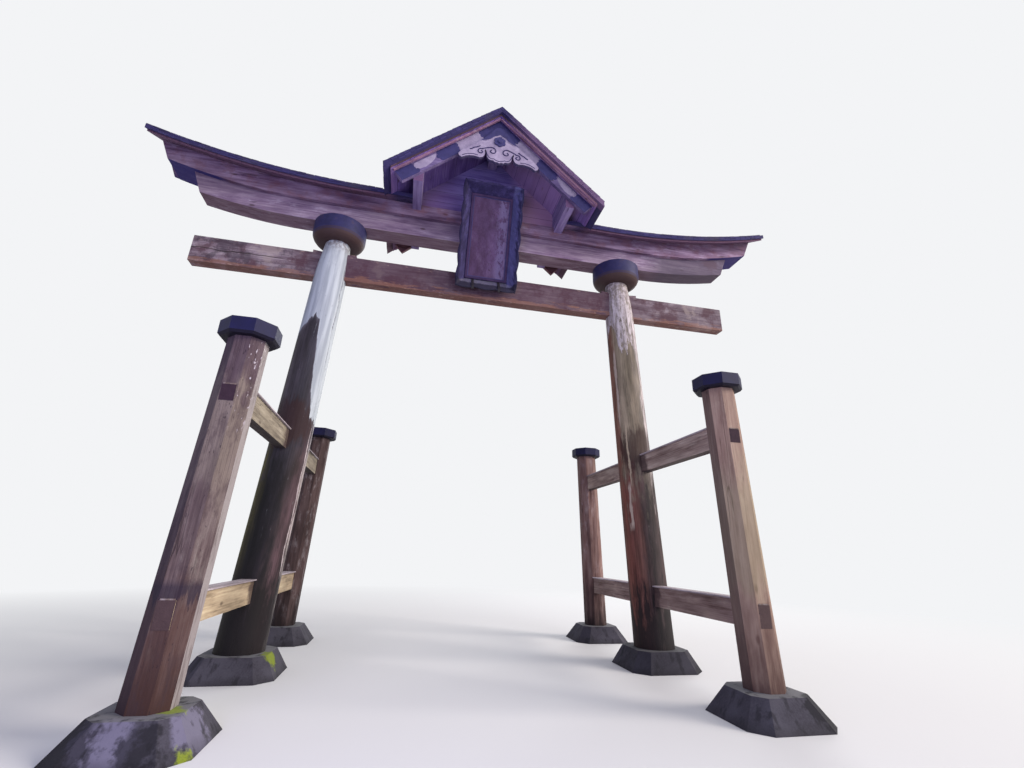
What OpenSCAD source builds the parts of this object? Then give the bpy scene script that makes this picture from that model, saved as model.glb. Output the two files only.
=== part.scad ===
// Timber shrine gate with four side posts, a curved double lintel and a small gable over its middle.
// The origin is on the ground at the middle of the passage.
// +X runs along the lintels, +Y from the front of the gate to its back, and +Z is up.

/* [Pillars] */
// Distance between the main pillars' axes at ground level
pillar_spacing = 5120; // [4400:10:6200]
// Lean of each main pillar towards the passage, in degrees
pillar_lean = 2.9; // [0:0.1:4]
// Radius of a pillar on its footing
pillar_base_r = 265; // [200:5:320]
// Radius of a pillar where its neck begins
pillar_top_r = 225; // [185:5:280]
// Radius of the neck under the ring
neck_r = 180; // [120:5:200]
// Height of the rounded neck
neck_h = 680; // [300:10:900]
// Radius of the ring under the lintel
ring_r = 385; // [300:5:480]
// Height of the ring
ring_h = 320; // [200:5:400]
// Radius of the ring's rounded lower edge
ring_round = 150; // [60:5:180]

/* [Side posts] */
// Distance from the pillars' line to the front and the back posts
post_row = 2080; // [1700:10:2500]
// Lean of each post towards the passage, in degrees
post_lean = 2; // [0:0.1:3]
// Width of a post across its flats on the footing
post_base_w = 348; // [280:2:420]
// Width of a post across its flats under the cap
post_top_w = 322; // [260:2:400]
// Height of the cap's underside above the ground
post_cap_z = 3140; // [2800:10:3400]
// Width of a post cap across its flats
cap_w = 490; // [420:5:620]
// Thickness of a post cap at its edge
cap_h = 150; // [80:5:220]
// Bevel along the lower edge of a cap
cap_bevel = 22; // [5:1:35]
// Rise of a cap's sloping top above its edge
cap_peak = 28; // [5:1:60]

/* [Footings] */
// Height of the stone footings
footing_h = 230; // [150:5:350]
// Width of a pillar footing at its top
pillar_footing_top = 700; // [580:10:800]
// Width of a pillar footing at the ground
pillar_footing_base = 960; // [820:10:1100]
// Width of a post footing at its top
post_footing_top = 580; // [460:10:640]
// Width of a post footing at the ground
post_footing_base = 900; // [680:10:960]
// Part of a footing's half width that is cut off at each corner
footing_corner = 0.34; // [0.1:0.01:0.55]

/* [Rails and tie beam] */
// Height of the lower rail's underside
lower_rail_z = 745; // [500:5:1200]
// Distance from the caps' underside down to the upper rail's underside
upper_rail_drop = 628; // [500:2:1100]
// Depth of a rail's section
rail_h = 240; // [160:5:300]
// Thickness of a rail
rail_t = 118; // [80:2:150]
// Depth of the upper rail's tenon, which passes through a post
upper_tenon_h = 145; // [80:5:210]
// Depth of the lower rail's tenon
lower_tenon_h = 200; // [100:5:215]
// Height of a tenon above its rail's underside
tenon_low = 13; // [5:1:40]
// How far a tenon stands out of its post
tenon_proud = 4; // [0:1:30]
// Depth to which the whole rail is let into a post
rail_housing = 12; // [4:1:30]
// Distance from the lower lintel's underside down to the tie beam's underside
tie_drop = 924; // [800:2:1300]
// Depth of the tie beam
tie_h = 405; // [280:5:450]
// Thickness of the tie beam
tie_t = 168; // [120:2:220]
// How far the tie beam runs past the pillars' axes at ground level
tie_past = 1620; // [900:10:2000]
// Height of a wedge at its head
wedge_h = 46; // [25:1:60]
// Height of a wedge at its tip
wedge_tip = 16; // [8:1:24]
// Length of a wedge
wedge_l = 300; // [200:5:380]
// Play on each side of a beam in its mortise
joint_play = 1; // [0.5:0.1:3]

/* [Lintels] */
// Height of the lower lintel's underside
lintel_z = 6004; // [5700:2:7200]
// Depth of the lower lintel
lower_lintel_h = 310; // [240:5:380]
// Thickness of the lower lintel
lower_lintel_t = 296; // [220:2:360]
// How far the lower lintel's underside runs past the pillars' axes at ground level
lower_lintel_past = 1690; // [1200:10:1900]
// Thickness of the upper lintel
upper_lintel_t = 430; // [340:2:500]
// How far the upper lintel's underside runs past them
upper_lintel_past = 2185; // [1800:5:2400]
// Slant of the lintels' ends, in degrees
end_slant = 24; // [0:1:35]
// How far the straight part of the lintels' joint runs past them
straight_past = 140; // [-500:10:600]
// Rise of that joint at the upper lintel's end
lintel_rise = 300; // [150:5:400]
// Width of the strut between the tie beam and the lintel
strut_w = 180; // [100:5:260]
// Thickness of that strut
strut_t = 110; // [80:5:160]

/* [Lintel roof] */
// Distance from the middle to the eaves, front and back
eave_y = 480; // [380:5:620]
// Height of the eaves' underside above the lintels' joint, at the middle
eave_up = 86; // [30:2:160]
// Pitch of the lintel roof, in degrees
roof_pitch = 28; // [20:1:35]
// Vertical thickness of the roof boards
roof_board_t = 36; // [25:1:60]
// Vertical thickness of the shingles on them
shingle_t = 70; // [40:1:90]
// Setback of the boards behind the shingles' edge
board_setback = 26; // [10:1:50]
// How far the roof runs past the upper lintel's underside
roof_past_end = 240; // [150:5:320]
// How far the curve of the eaves begins inside the pillars' axes
eave_curve_in = 560; // [0:10:1000]
// Rise of the eaves at the upper lintel's end
eave_rise = 355; // [200:5:420]
// Width of the ridge cap along the lintel roof
ridge_cap_w = 240; // [160:5:320]
// Thickness of the ridge caps
ridge_cap_t = 34; // [20:1:60]

/* [Gable] */
// Half of the gable's width, to its eaves
gable_half = 1650; // [1450:5:1850]
// Height of the gable's peak above the lintels' joint
gable_peak_up = 1676; // [1400:2:1900]
// Pitch of the gable, in degrees
gable_pitch = 42.1; // [35:0.1:44]
// Distance from the middle to the gable's verges, front and back
verge_y = 1055; // [900:5:1300]
// Thickness of the gable's shingles, square to the slope
gable_shingle_t = 80; // [50:1:100]
// Thickness of the gable's boards, square to the slope
gable_board_t = 32; // [20:1:60]
// Setback of those boards at the verges
gable_setback = 44; // [20:1:70]
// Setback of those boards at the eaves
gable_eave_setback = 97; // [20:1:130]
// Setback of the gable's ridge cap at the verges
ridge_cap_setback = 60; // [0:5:200]
// Distance between the purlins' middles
purlin_spacing = 2330; // [2100:10:2500]
// Width of a purlin
purlin_w = 135; // [90:5:160]
// Height of the purlins' underside above the lintels' joint
purlin_up = 126; // [80:2:170]
// Width of the ridge beam
ridge_beam_w = 150; // [100:5:200]
// Depth of the ridge beam
ridge_beam_h = 190; // [120:5:260]
// Thickness of the gable walls
wall_t = 32; // [20:1:50]
// Setback of the gable walls behind the upper lintel's face
wall_setback = 75; // [10:1:100]
// Width of the king posts in the gable walls
king_post_w = 200; // [120:5:260]
// Thickness of the king posts
king_post_t = 60; // [45:1:90]
// Setback of the barge boards behind the roof boards' edge
barge_setback = 100; // [40:5:160]
// Thickness of the barge boards
barge_t = 56; // [40:1:80]
// Depth of the barge boards, square to the slope
barge_h = 186; // [120:2:240]
// Distance from the gable's eaves to a barge board's end
barge_short = 143; // [100:1:300]
// Thickness of the carved pendant
pendant_t = 48; // [30:1:48]

/* [Plaque] */
// Width of the plaque's panel
panel_w = 620; // [500:10:760]
// Height of the panel, along its tilt
panel_h = 1340; // [1100:10:1450]
// Thickness of the panel
panel_t = 34; // [20:1:50]
// Forward tilt of the plaque, in degrees
plaque_tilt = 15; // [5:1:20]
// Height of the panel's lower edge above the tie beam's underside
panel_up = 330; // [260:5:400]
// Width that the frame adds at its top and sides
frame_flare = 175; // [100:5:200]
// Width that it adds at its bottom
frame_foot_flare = 215; // [120:5:240]
// How far the frame stands in front of the panel
frame_depth = 150; // [80:5:200]
// Thickness of the frame's boards
frame_board = 38; // [25:1:60]
// Number of scallops along a long side of the frame
side_scallops = 5; // [3:1:8]
// Number of scallops along its top and along its bottom
end_scallops = 3; // [2:1:5]
// Depth of the scallops
scallop_depth = 24; // [10:1:36]

/* [Hidden] */

// Colours of the weathered timber, the dark paint, the pale paint and the stone
timber = "#8a7468";
pale_timber = "#c9c4bd";
dark_paint = "#3c3b52";
shingle = "#4a4658";
stone = "#77757a";
cream = "#ddd3c2";
panel_colour = "#7a5a58";

$fn = 72;
// More than the gate measures either way, for cuts that run right through
reach = 12000;

// Heights and places that follow from the sizes above
pillar_half = pillar_spacing / 2;
ring_z = lintel_z - ring_h;
neck_z = ring_z - neck_h;
upper_rail_z = post_cap_z - upper_rail_drop;
tie_z = lintel_z - tie_drop;
tie_half = pillar_half + tie_past;
joint_z = lintel_z + lower_lintel_h;
lower_lintel_half = pillar_half + lower_lintel_past;
upper_lintel_half = pillar_half + upper_lintel_past;
straight_half = pillar_half + straight_past;
eave_z = joint_z + eave_up;
eave_straight_half = pillar_half - eave_curve_in;
gable_peak_z = joint_z + gable_peak_up;
purlin_z = joint_z + purlin_up;
panel_z = tie_z + panel_up;
purlin_half = purlin_spacing / 2;
purlin_outer = purlin_half + purlin_w / 2;
purlin_inner = purlin_half - purlin_w / 2;
roof_t = roof_board_t + shingle_t;
eave_slope = tan(roof_pitch);
gable_slope = tan(gable_pitch);
gable_shingle_v = gable_shingle_t / cos(gable_pitch);
gable_board_v = gable_board_t / cos(gable_pitch);
gable_under_z = gable_peak_z - gable_shingle_v - gable_board_v;
barge_y = verge_y - gable_setback - barge_setback;
barge_back = barge_y - barge_t;
barge_half = gable_half - barge_short;

// Distance from the middle to a pillar's axis, and to a post's axis, at a height
function pillar_x(z) = pillar_half - z * tan(pillar_lean);
function post_x(z) = pillar_half - z * tan(post_lean);
// Half of a post's width at a height
function post_half(z) = (post_base_w + (post_top_w - post_base_w) * (z - footing_h) / (post_cap_z - footing_h)) / 2;

// The lintels' joint and the eaves are straight in the middle, and then each follows a parabola.
// Both are drawn from the same stations along the gate, so pieces that meet there share their edges.
roof_half = upper_lintel_half + roof_past_end;
station_step = 200;
station_count = ceil(roof_half / station_step);
stations = [for (k = [-station_count:station_count]) k * station_step];
function parabola(x, start, rise) = x <= start ? 0 : rise * pow((x - start) / (upper_lintel_half - start), 2);
joint_curve = [for (x = stations) [x, parabola(abs(x), straight_half, lintel_rise)]];
eave_curve = [for (x = stations) [x, parabola(abs(x), eave_straight_half, eave_rise)]];
// The stations from one place to another, with both ends
function places(from, to) = concat([from], [for (x = stations) if (x > from + 1 && x < to - 1) x], [to]);
// Height of the lintels' joint
function joint_at(x) = joint_z + lookup(x, joint_curve);
// Height of the roof boards' underside above the eaves' level, over the middle of the lintel and beside it
function roof_rise(x, y = 0) = lookup(x, eave_curve) + (eave_y - abs(y)) * eave_slope;
function roof_line(from, to, up) = [for (x = places(from, to)) [x, roof_rise(x) + up]];
function reversed(list) = [for (i = [len(list) - 1:-1:0]) list[i]];

// A solid with chamfered corners: a profile of half widths against height, the same from all four sides
module chamfered(profile, diagonal) {
    intersection_for(k = [0:3])
        rotate([90, 0, 45 * k])
            linear_extrude(height = 4 * profile[0][0], center = true)
                polygon(concat(
                    [for (p = profile) [p[0] * (k % 2 == 0 ? 1 : diagonal), p[1]]],
                    [for (i = [len(profile) - 1:-1:0])
                        [-profile[i][0] * (k % 2 == 0 ? 1 : diagonal), profile[i][1]]]));
}

// A shape drawn in the plane of the gate, and drawn out from one depth to another
module across(y0, y1) {
    translate([0, y1, 0]) rotate([90, 0, 0]) linear_extrude(height = y1 - y0) children();
}

// An outline at the middle of the lintels, with heights above the eaves' level, carried down the pitch to both sides
module pitched(outline, half) {
    for (m = [0, 1])
        mirror([0, m, 0])
            intersection() {
                translate([-reach / 2, 0, 0]) cube([reach, half, reach]);
                translate([0, 0, eave_z])
                    rotate([-roof_pitch, 0, 0])
                        across(-reach, reach)
                            polygon([for (p = outline) [p[0], p[1] * cos(roof_pitch)]]);
            }
}

// Everything between two heights
module level_band(z0, z1) {
    translate([-reach / 2, -reach / 2, z0]) cube([reach, reach, z1 - z0]);
}

// Stone footings
module footing(top_w, base_w) {
    color(stone)
        chamfered([[base_w / 2, 0], [top_w / 2, footing_h]], (2 - footing_corner) / sqrt(2));
}

module pillar_footing(side) {
    translate([side * pillar_x(footing_h), 0, 0]) footing(pillar_footing_top, pillar_footing_base);
}

module post_footings() {
    for (side = [-1, 1], row = [-1, 1])
        translate([side * post_x(footing_h), row * post_row, 0]) footing(post_footing_top, post_footing_base);
}

// Main pillars
neck_steps = 7;
pillar_profile = concat(
    [[0, 0], [pillar_base_r, 0], [pillar_base_r, footing_h]],
    [for (i = [0:neck_steps])
        [neck_r + (pillar_top_r - neck_r) * cos(90 * i / neck_steps), neck_z + neck_h * i / neck_steps]],
    [[neck_r, lintel_z], [0, lintel_z]]);

module pillar(side) {
    color(pale_timber)
        difference() {
            intersection() {
                translate([side * pillar_half, 0, 0])
                    rotate([0, -side * pillar_lean, 0])
                        rotate_extrude() polygon(pillar_profile);
                level_band(footing_h, ring_z);
            }
            tie_mortise();
            tie_wedge_shapes(joint_play);
            lower_rail(side, joint_play);
            upper_rail(side, joint_play);
        }
}

ring_steps = 6;
module ring(side) {
    color(dark_paint)
        translate([side * pillar_x(ring_z), 0, ring_z])
            rotate_extrude()
                polygon(concat(
                    [[0, 0], [ring_r - ring_round, 0]],
                    [for (i = [1:ring_steps])
                        [ring_r - ring_round + ring_round * sin(90 * i / ring_steps),
                         ring_round - ring_round * cos(90 * i / ring_steps)]],
                    [[ring_r, ring_h], [0, ring_h]]));
}

// Side posts
module post(side, row) {
    color(timber)
        difference() {
            intersection() {
                translate([side * pillar_half, row * post_row, 0])
                    rotate([0, -side * post_lean, 0])
                        chamfered([[post_half(-footing_h), -footing_h],
                                   [post_half(post_cap_z + footing_h), post_cap_z + footing_h]], 1);
                level_band(footing_h, post_cap_z);
            }
            lower_rail(side, joint_play);
            upper_rail(side, joint_play);
        }
}

module post_caps() {
    corner_r = cap_w / 2 / cos(22.5);
    color(dark_paint)
        for (side = [-1, 1], row = [-1, 1])
            translate([side * post_x(post_cap_z), row * post_row, post_cap_z])
                rotate([0, 0, 22.5])
                    rotate_extrude($fn = 8)
                        polygon([[0, 0], [corner_r - cap_bevel, 0], [corner_r, cap_bevel], [corner_r, cap_h],
                                 [0, cap_h + cap_peak]]);
}

// A rail runs from the front post through the pillar to the back post, and its tenons pass through the posts.
// With play, the same shape is the mortise that holds it.
module rail_shape(side, z, tenon_h, play) {
    shoulder = post_row - post_half(z + rail_h / 2) + rail_housing + play;
    tip = post_row + post_half(z + rail_h / 2) + tenon_proud + play;
    x = side * post_x(z + rail_h / 2);
    translate([x - rail_t / 2 - play, -shoulder, z])
        cube([rail_t + 2 * play, 2 * shoulder, rail_h + play]);
    translate([x - rail_t / 2 - play, -tip, z + tenon_low])
        cube([rail_t + 2 * play, 2 * tip, tenon_h + play]);
}

module lower_rail(side, play = 0) {
    color(timber) rail_shape(side, lower_rail_z, lower_tenon_h, play);
}

module upper_rail(side, play = 0) {
    color(timber) rail_shape(side, upper_rail_z, upper_tenon_h, play);
}

// Tie beam through both pillars, with a pair of wedges above it in each
module tie_beam() {
    color(timber)
        translate([-tie_half, -tie_t / 2, tie_z]) cube([2 * tie_half, tie_t, tie_h]);
}

module tie_mortise() {
    translate([-tie_half - joint_play, -tie_t / 2 - joint_play, tie_z])
        cube([2 * tie_half + 2 * joint_play, tie_t + 2 * joint_play, tie_h + joint_play]);
}

wedge_gap = 20;
module tie_wedge_shapes(play) {
    top = tie_z + tie_h;
    for (side = [-1, 1], way = [-1, 1])
        translate([side * pillar_x(top), 0, 0])
            across(-tie_t / 2 + 6 - play, tie_t / 2 - 6 + play)
                polygon([[way * (wedge_gap / 2 - play), top],
                         [way * (wedge_gap / 2 + wedge_l + play), top],
                         [way * (wedge_gap / 2 + wedge_l + play), top + wedge_h + play],
                         [way * (wedge_gap / 2 - play), top + wedge_tip + play]]);
}

module tie_wedges() {
    color(timber) tie_wedge_shapes(0);
}

module centre_strut() {
    color(timber)
        translate([-strut_w / 2, -strut_t / 2, tie_z + tie_h])
            cube([strut_w, strut_t, lintel_z - tie_z - tie_h]);
}

// Lower lintel, under the joint's curve
module lower_lintel() {
    top_half = lower_lintel_half + lower_lintel_h * tan(end_slant);
    color(timber)
        across(-lower_lintel_t / 2, lower_lintel_t / 2)
            polygon(concat(
                [for (x = places(-lower_lintel_half, lower_lintel_half)) [x, joint_at(x) - lower_lintel_h]],
                reversed([for (x = places(-top_half, top_half)) [x, joint_at(x)]])));
}

// Upper lintel: its underside follows the joint and its gabled top the roof boards
module upper_lintel_blank() {
    high = 1000;
    intersection() {
        across(-upper_lintel_t / 2, upper_lintel_t / 2)
            polygon(concat(
                [for (x = places(-upper_lintel_half, upper_lintel_half)) [x, joint_at(x)]],
                [for (side = [1, -1])
                    [side * (upper_lintel_half + high * tan(end_slant)), joint_at(upper_lintel_half) + high]]));
        pitched(concat([[-roof_half, -high], [roof_half, -high]], reversed(roof_line(-roof_half, roof_half, 0))),
                upper_lintel_t);
    }
}

module upper_lintel() {
    color(timber)
        difference() {
            upper_lintel_blank();
            for (side = [-1, 1]) purlin_shape(side);
        }
}

// Lintel roof, from the purlins outwards. A layer lies between two heights above the boards' underside.
module lintel_layer(side, from, to, half, low, high) {
    mirror([side < 0 ? 1 : 0, 0, 0])
        pitched(concat(roof_line(from, to, low), reversed(roof_line(from, to, high))), half);
}

module lintel_boards(side) {
    color(timber)
        lintel_layer(side, purlin_outer, roof_half - board_setback, eave_y - board_setback, 0, roof_board_t);
}

module lintel_shingles(side) {
    color(shingle)
        lintel_layer(side, purlin_outer, roof_half, eave_y, roof_board_t, roof_t);
}

// The room that the lintel, and its roof beyond the purlins, take out of the gable's slopes
module lintel_envelope() {
    upper_lintel_blank();
    for (side = [-1, 1])
        lintel_layer(side, purlin_outer, roof_half, eave_y, lintel_z - eave_z, roof_t);
}

// Ridge caps along the lintel roof, butted against the gable's slopes
module lintel_ridge_caps() {
    color(dark_paint)
        difference() {
            for (side = [-1, 1])
                lintel_layer(side, purlin_inner, roof_half, ridge_cap_w / 2, roof_t, roof_t + ridge_cap_t);
            across(-verge_y, verge_y)
                polygon([[-gable_half, lintel_z], [gable_half, lintel_z], [gable_half, gable_z(gable_half, 0)],
                         [0, gable_peak_z], [-gable_half, gable_z(gable_half, 0)]]);
        }
}

// Gable: heights of its slopes, measured down from the top of its shingles
function gable_z(x, down) = gable_peak_z - down - abs(x) * gable_slope;

module purlin_shape(side) {
    across(-barge_back, barge_back)
        polygon([[side * purlin_inner, purlin_z],
                 [side * purlin_outer, purlin_z],
                 [side * purlin_outer, gable_z(purlin_outer, gable_peak_z - gable_under_z)],
                 [side * purlin_inner, gable_z(purlin_inner, gable_peak_z - gable_under_z)]]);
}

module purlin(side) {
    color(timber) purlin_shape(side);
}

ridge_beam_top = gable_z(ridge_beam_w / 2, gable_peak_z - gable_under_z);
module ridge_beam() {
    color(timber)
        across(-barge_back, barge_back)
            polygon([[-ridge_beam_w / 2, ridge_beam_top - ridge_beam_h],
                     [ridge_beam_w / 2, ridge_beam_top - ridge_beam_h],
                     [ridge_beam_w / 2, ridge_beam_top],
                     [0, gable_under_z],
                     [-ridge_beam_w / 2, ridge_beam_top]]);
}

// King posts carry the ridge beam from the upper lintel, and stand proud of the walls
wall_face = upper_lintel_t / 2 - wall_setback;
king_post_proud = 5;
module king_post_shape(row) {
    out = wall_face + king_post_proud;
    low_z = eave_z + roof_rise(0, out);
    difference() {
        translate([-king_post_w / 2, row > 0 ? out - king_post_t : -out, low_z])
            cube([king_post_w, king_post_t, ridge_beam_top - ridge_beam_h - low_z]);
        upper_lintel_blank();
    }
}

module king_posts() {
    color(timber)
        for (row = [-1, 1]) king_post_shape(row);
}

// A gable wall stands on the upper lintel, between the purlins and under the slopes
module gable_wall(row) {
    low_z = eave_z + roof_rise(0, wall_face);
    color(timber)
        difference() {
            across(row > 0 ? wall_face - wall_t : -wall_face, row > 0 ? wall_face : -wall_face + wall_t)
                polygon([[-purlin_inner, low_z],
                         [purlin_inner, low_z],
                         [purlin_inner, gable_z(purlin_inner, gable_peak_z - gable_under_z)],
                         [0, gable_under_z],
                         [-purlin_inner, gable_z(purlin_inner, gable_peak_z - gable_under_z)]]);
            upper_lintel_blank();
            king_post_shape(row);
            translate([-ridge_beam_w / 2, -barge_back, ridge_beam_top - ridge_beam_h])
                cube([ridge_beam_w, 2 * barge_back, ridge_beam_h * 2]);
        }
}

// One layer of a gable slope, with plumb ends
module gable_layer(side, half_x, half_y, top_down, bottom_down) {
    difference() {
        across(-half_y, half_y)
            polygon([[0, gable_peak_z - bottom_down],
                     [side * half_x, gable_z(half_x, bottom_down)],
                     [side * half_x, gable_z(half_x, top_down)],
                     [0, gable_peak_z - top_down]]);
        lintel_envelope();
    }
}

module gable_boards(side) {
    color(timber)
        gable_layer(side, gable_half - gable_eave_setback, verge_y - gable_setback,
                    gable_shingle_v, gable_shingle_v + gable_board_v);
}

module gable_shingles(side) {
    color(shingle) gable_layer(side, gable_half, verge_y, 0, gable_shingle_v);
}

module gable_ridge_cap() {
    half = ridge_cap_w / 2;
    drop = half * gable_slope;
    end_y = verge_y - ridge_cap_setback;
    color(dark_paint)
        across(-end_y, end_y)
            polygon([[0, gable_peak_z], [half, gable_peak_z - drop], [half, gable_peak_z - drop + ridge_cap_t],
                     [0, gable_peak_z + ridge_cap_t], [-half, gable_peak_z - drop + ridge_cap_t],
                     [-half, gable_peak_z - drop]]);
}

// Barge boards hang under the roof boards and end square to the slope
barge_v = barge_h / cos(gable_pitch);
module barge_board(side, row) {
    y = row > 0 ? barge_back : -barge_y;
    top = gable_peak_z - gable_under_z;
    color(cream)
        across(y, y + barge_t)
            polygon([[0, gable_z(0, top)],
                     [side * barge_half, gable_z(barge_half, top)],
                     [side * (barge_half - barge_h * sin(gable_pitch)),
                      gable_z(barge_half, top) - barge_h * cos(gable_pitch)],
                     [0, gable_z(0, top) - barge_v]]);
}

// Carved pendant in the gable's angle: half of its outline, with heights from the angle under the barge boards.
// It runs along the boards to a pointed wing, back to the wing's curl, up into a notch and round the middle lobe.
pendant_z = gable_under_z - barge_v;
pendant_edge = [
    [0, 60], [58, 38], [108, -20], [175, -125], [250, -214], [320, -289], [415, -378], [500, -456], [556, -506],
    [598, -552], [624, -598], [610, -636], [570, -659], [512, -618], [459, -600], [380, -588], [300, -602],
    [256, -583], [229, -545], [219, -491], [230, -452], [222, -423],
    [203, -452], [197, -510], [190, -558], [168, -594], [132, -616], [96, -612], [66, -636], [30, -634], [0, -648]
];
pendant_other_edge = [for (i = [len(pendant_edge) - 2:-1:1]) [-pendant_edge[i][0], pendant_edge[i][1]]];
module pendant(row) {
    y = row > 0 ? barge_y : -barge_y - pendant_t;
    color(cream)
        across(y, y + pendant_t)
            translate([0, pendant_z])
                polygon(concat(pendant_edge, pendant_other_edge));
}

// Plaque: its own plane stands on the panel's lower edge and tilts forward
plaque_back = panel_t * cos(plaque_tilt) + frame_board * sin(plaque_tilt);
module in_plaque() {
    translate([0, -tie_t / 2 - plaque_back, panel_z])
        rotate([plaque_tilt, 0, 0])
            children();
}

module plaque_panel() {
    color(panel_colour)
        in_plaque() translate([-panel_w / 2, 0, 0]) cube([panel_w, panel_t, panel_h]);
}

// A solid that widens evenly from the panel's back to the frame's front
module flared(grow, back, front) {
    wide = grow + frame_flare - frame_board;
    foot = grow + frame_foot_flare - frame_board;
    intersection() {
        translate([0, 0, -frame_foot_flare])
            linear_extrude(height = panel_h + 2 * frame_foot_flare)
                polygon([[-panel_w / 2 - grow, back], [panel_w / 2 + grow, back],
                         [panel_w / 2 + wide, front], [-panel_w / 2 - wide, front]]);
        rotate([90, 0, 90])
            linear_extrude(height = 2 * panel_w, center = true)
                polygon([[back, -grow], [front, -foot], [front, panel_h + wide], [back, panel_h + grow]]);
    }
}

// Scallops from one corner of the frame to the next, seen from the front. Each is half a turn of a flat arch.
scallop_steps = 8;
function scallops(from, to, count) =
    let(way = (to - from) / norm(to - from), out = [way[1], -way[0]])
        [for (i = [0:count * scallop_steps - 1])
            let(part = i / (count * scallop_steps), arch = abs(sin(180 * i / scallop_steps)))
                from + (to - from) * part + out * (arch - 1) * scallop_depth];

// The frame's boards, with scalloped edges round the front
frame_half = panel_w / 2 + frame_flare;
frame_top = panel_h + frame_flare;
module plaque_frame() {
    corners = [[-frame_half, -frame_foot_flare], [frame_half, -frame_foot_flare],
               [frame_half, frame_top], [-frame_half, frame_top]];
    color(dark_paint)
        in_plaque()
            difference() {
                intersection() {
                    flared(frame_board, panel_t, -frame_depth);
                    across(-frame_depth, panel_t)
                        polygon(concat(
                            scallops(corners[0], corners[1], end_scallops),
                            scallops(corners[1], corners[2], side_scallops),
                            scallops(corners[2], corners[3], end_scallops),
                            scallops(corners[3], corners[0], side_scallops)));
                }
                flared(0, panel_t, -frame_depth);
            }
}

// Two iron straps, fixed to the tie beam, carry the frame from below and wrap round its bottom board.
// Two stays on the lower lintel hold the panel's back.
strap_w = 36;
strap_t = 8;
strap_drop = 12;
strap_x = 205;
strap_start = 6;
leaf_w = 60;
leaf_h = 114;
stay_x = 140;
stay_w = 50;
stay_h = 40;
stay_z = lintel_z + lower_lintel_h / 2;
// Heights of the bottom board's two faces in the plaque's plane, at a distance from the panel's back
rim_slope = (frame_foot_flare - frame_board) / (panel_t + frame_depth);
function outer_at(y) = -frame_board - (panel_t - y) * rim_slope;
function inner_at(y) = -(panel_t - y) * rim_slope;
module plaque_brackets() {
    foot_z = panel_z + panel_t * sin(plaque_tilt) - frame_board * cos(plaque_tilt);
    begin = panel_t - strap_start;
    front = -frame_depth;
    color(timber)
        difference() {
            for (side = [-1, 1]) {
                in_plaque()
                    translate([side * strap_x - strap_w / 2, 0, 0])
                        rotate([90, 0, 90])
                            linear_extrude(height = strap_w)
                                polygon([[begin, outer_at(begin)],
                                         [front, outer_at(front)],
                                         [front, inner_at(front)],
                                         [0, inner_at(0)],
                                         [0, inner_at(0) + strap_drop],
                                         [front - strap_t, inner_at(front) + strap_drop],
                                         [front - strap_t, outer_at(front) - strap_drop],
                                         [begin, outer_at(begin) - strap_drop]]);
                translate([side * strap_x - leaf_w / 2, -tie_t / 2 - strap_t, foot_z - leaf_h - 2 * strap_t])
                    cube([leaf_w, strap_t, leaf_h]);
                translate([side * stay_x - stay_w / 2, -reach / 20, stay_z])
                    cube([stay_w, reach / 20 - lower_lintel_t / 2, stay_h]);
            }
            in_plaque()
                translate([-panel_w / 2, -reach / 10, 0]) cube([panel_w, reach / 10 + panel_t, panel_h]);
        }
}

pillar_footing(-1);  // footing_left
pillar_footing(1);  // footing_right
post_footings();
pillar(-1);  // pillar_left
pillar(1);  // pillar_right
ring(-1);  // ring_left
ring(1);  // ring_right
post(-1, -1);  // post_front_left
post(1, -1);  // post_front_right
post(-1, 1);  // post_back_left
post(1, 1);  // post_back_right
post_caps();
upper_rail(-1);  // rail_upper_left
upper_rail(1);  // rail_upper_right
lower_rail(-1);  // rail_lower_left
lower_rail(1);  // rail_lower_right
tie_beam();
tie_wedges();
centre_strut();
lower_lintel();
upper_lintel();
lintel_boards(-1);  // lintel_boards_left
lintel_boards(1);  // lintel_boards_right
lintel_shingles(-1);  // lintel_shingles_left
lintel_shingles(1);  // lintel_shingles_right
lintel_ridge_caps();
purlin(-1);  // purlin_left
purlin(1);  // purlin_right
ridge_beam();
gable_wall(-1);  // gable_wall_front
gable_wall(1);  // gable_wall_back
king_posts();
gable_boards(-1);  // gable_boards_left
gable_boards(1);  // gable_boards_right
gable_shingles(-1);  // gable_shingles_left
gable_shingles(1);  // gable_shingles_right
gable_ridge_cap();
barge_board(-1, -1);  // barge_front_left
barge_board(1, -1);  // barge_front_right
barge_board(-1, 1);  // barge_back_left
barge_board(1, 1);  // barge_back_right
pendant(-1);  // pendant_front
pendant(1);  // pendant_back
plaque_panel();
plaque_frame();
plaque_brackets();
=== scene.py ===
# %% [markdown]
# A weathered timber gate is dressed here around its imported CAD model.
# The CAD nodes keep their shapes, and this lesson adds their finishes and the fine pieces that a maker
# would fit last: shingles, fittings, carving, mouldings and wedges.
# Everything is in metres. X runs along the lintels, Y from front to back, and Z is up.

# %% Load the frame
import math
import random

import bpy
import numpy as np
from mathutils import Matrix, Vector
from mathutils.bvhtree import BVHTree


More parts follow.
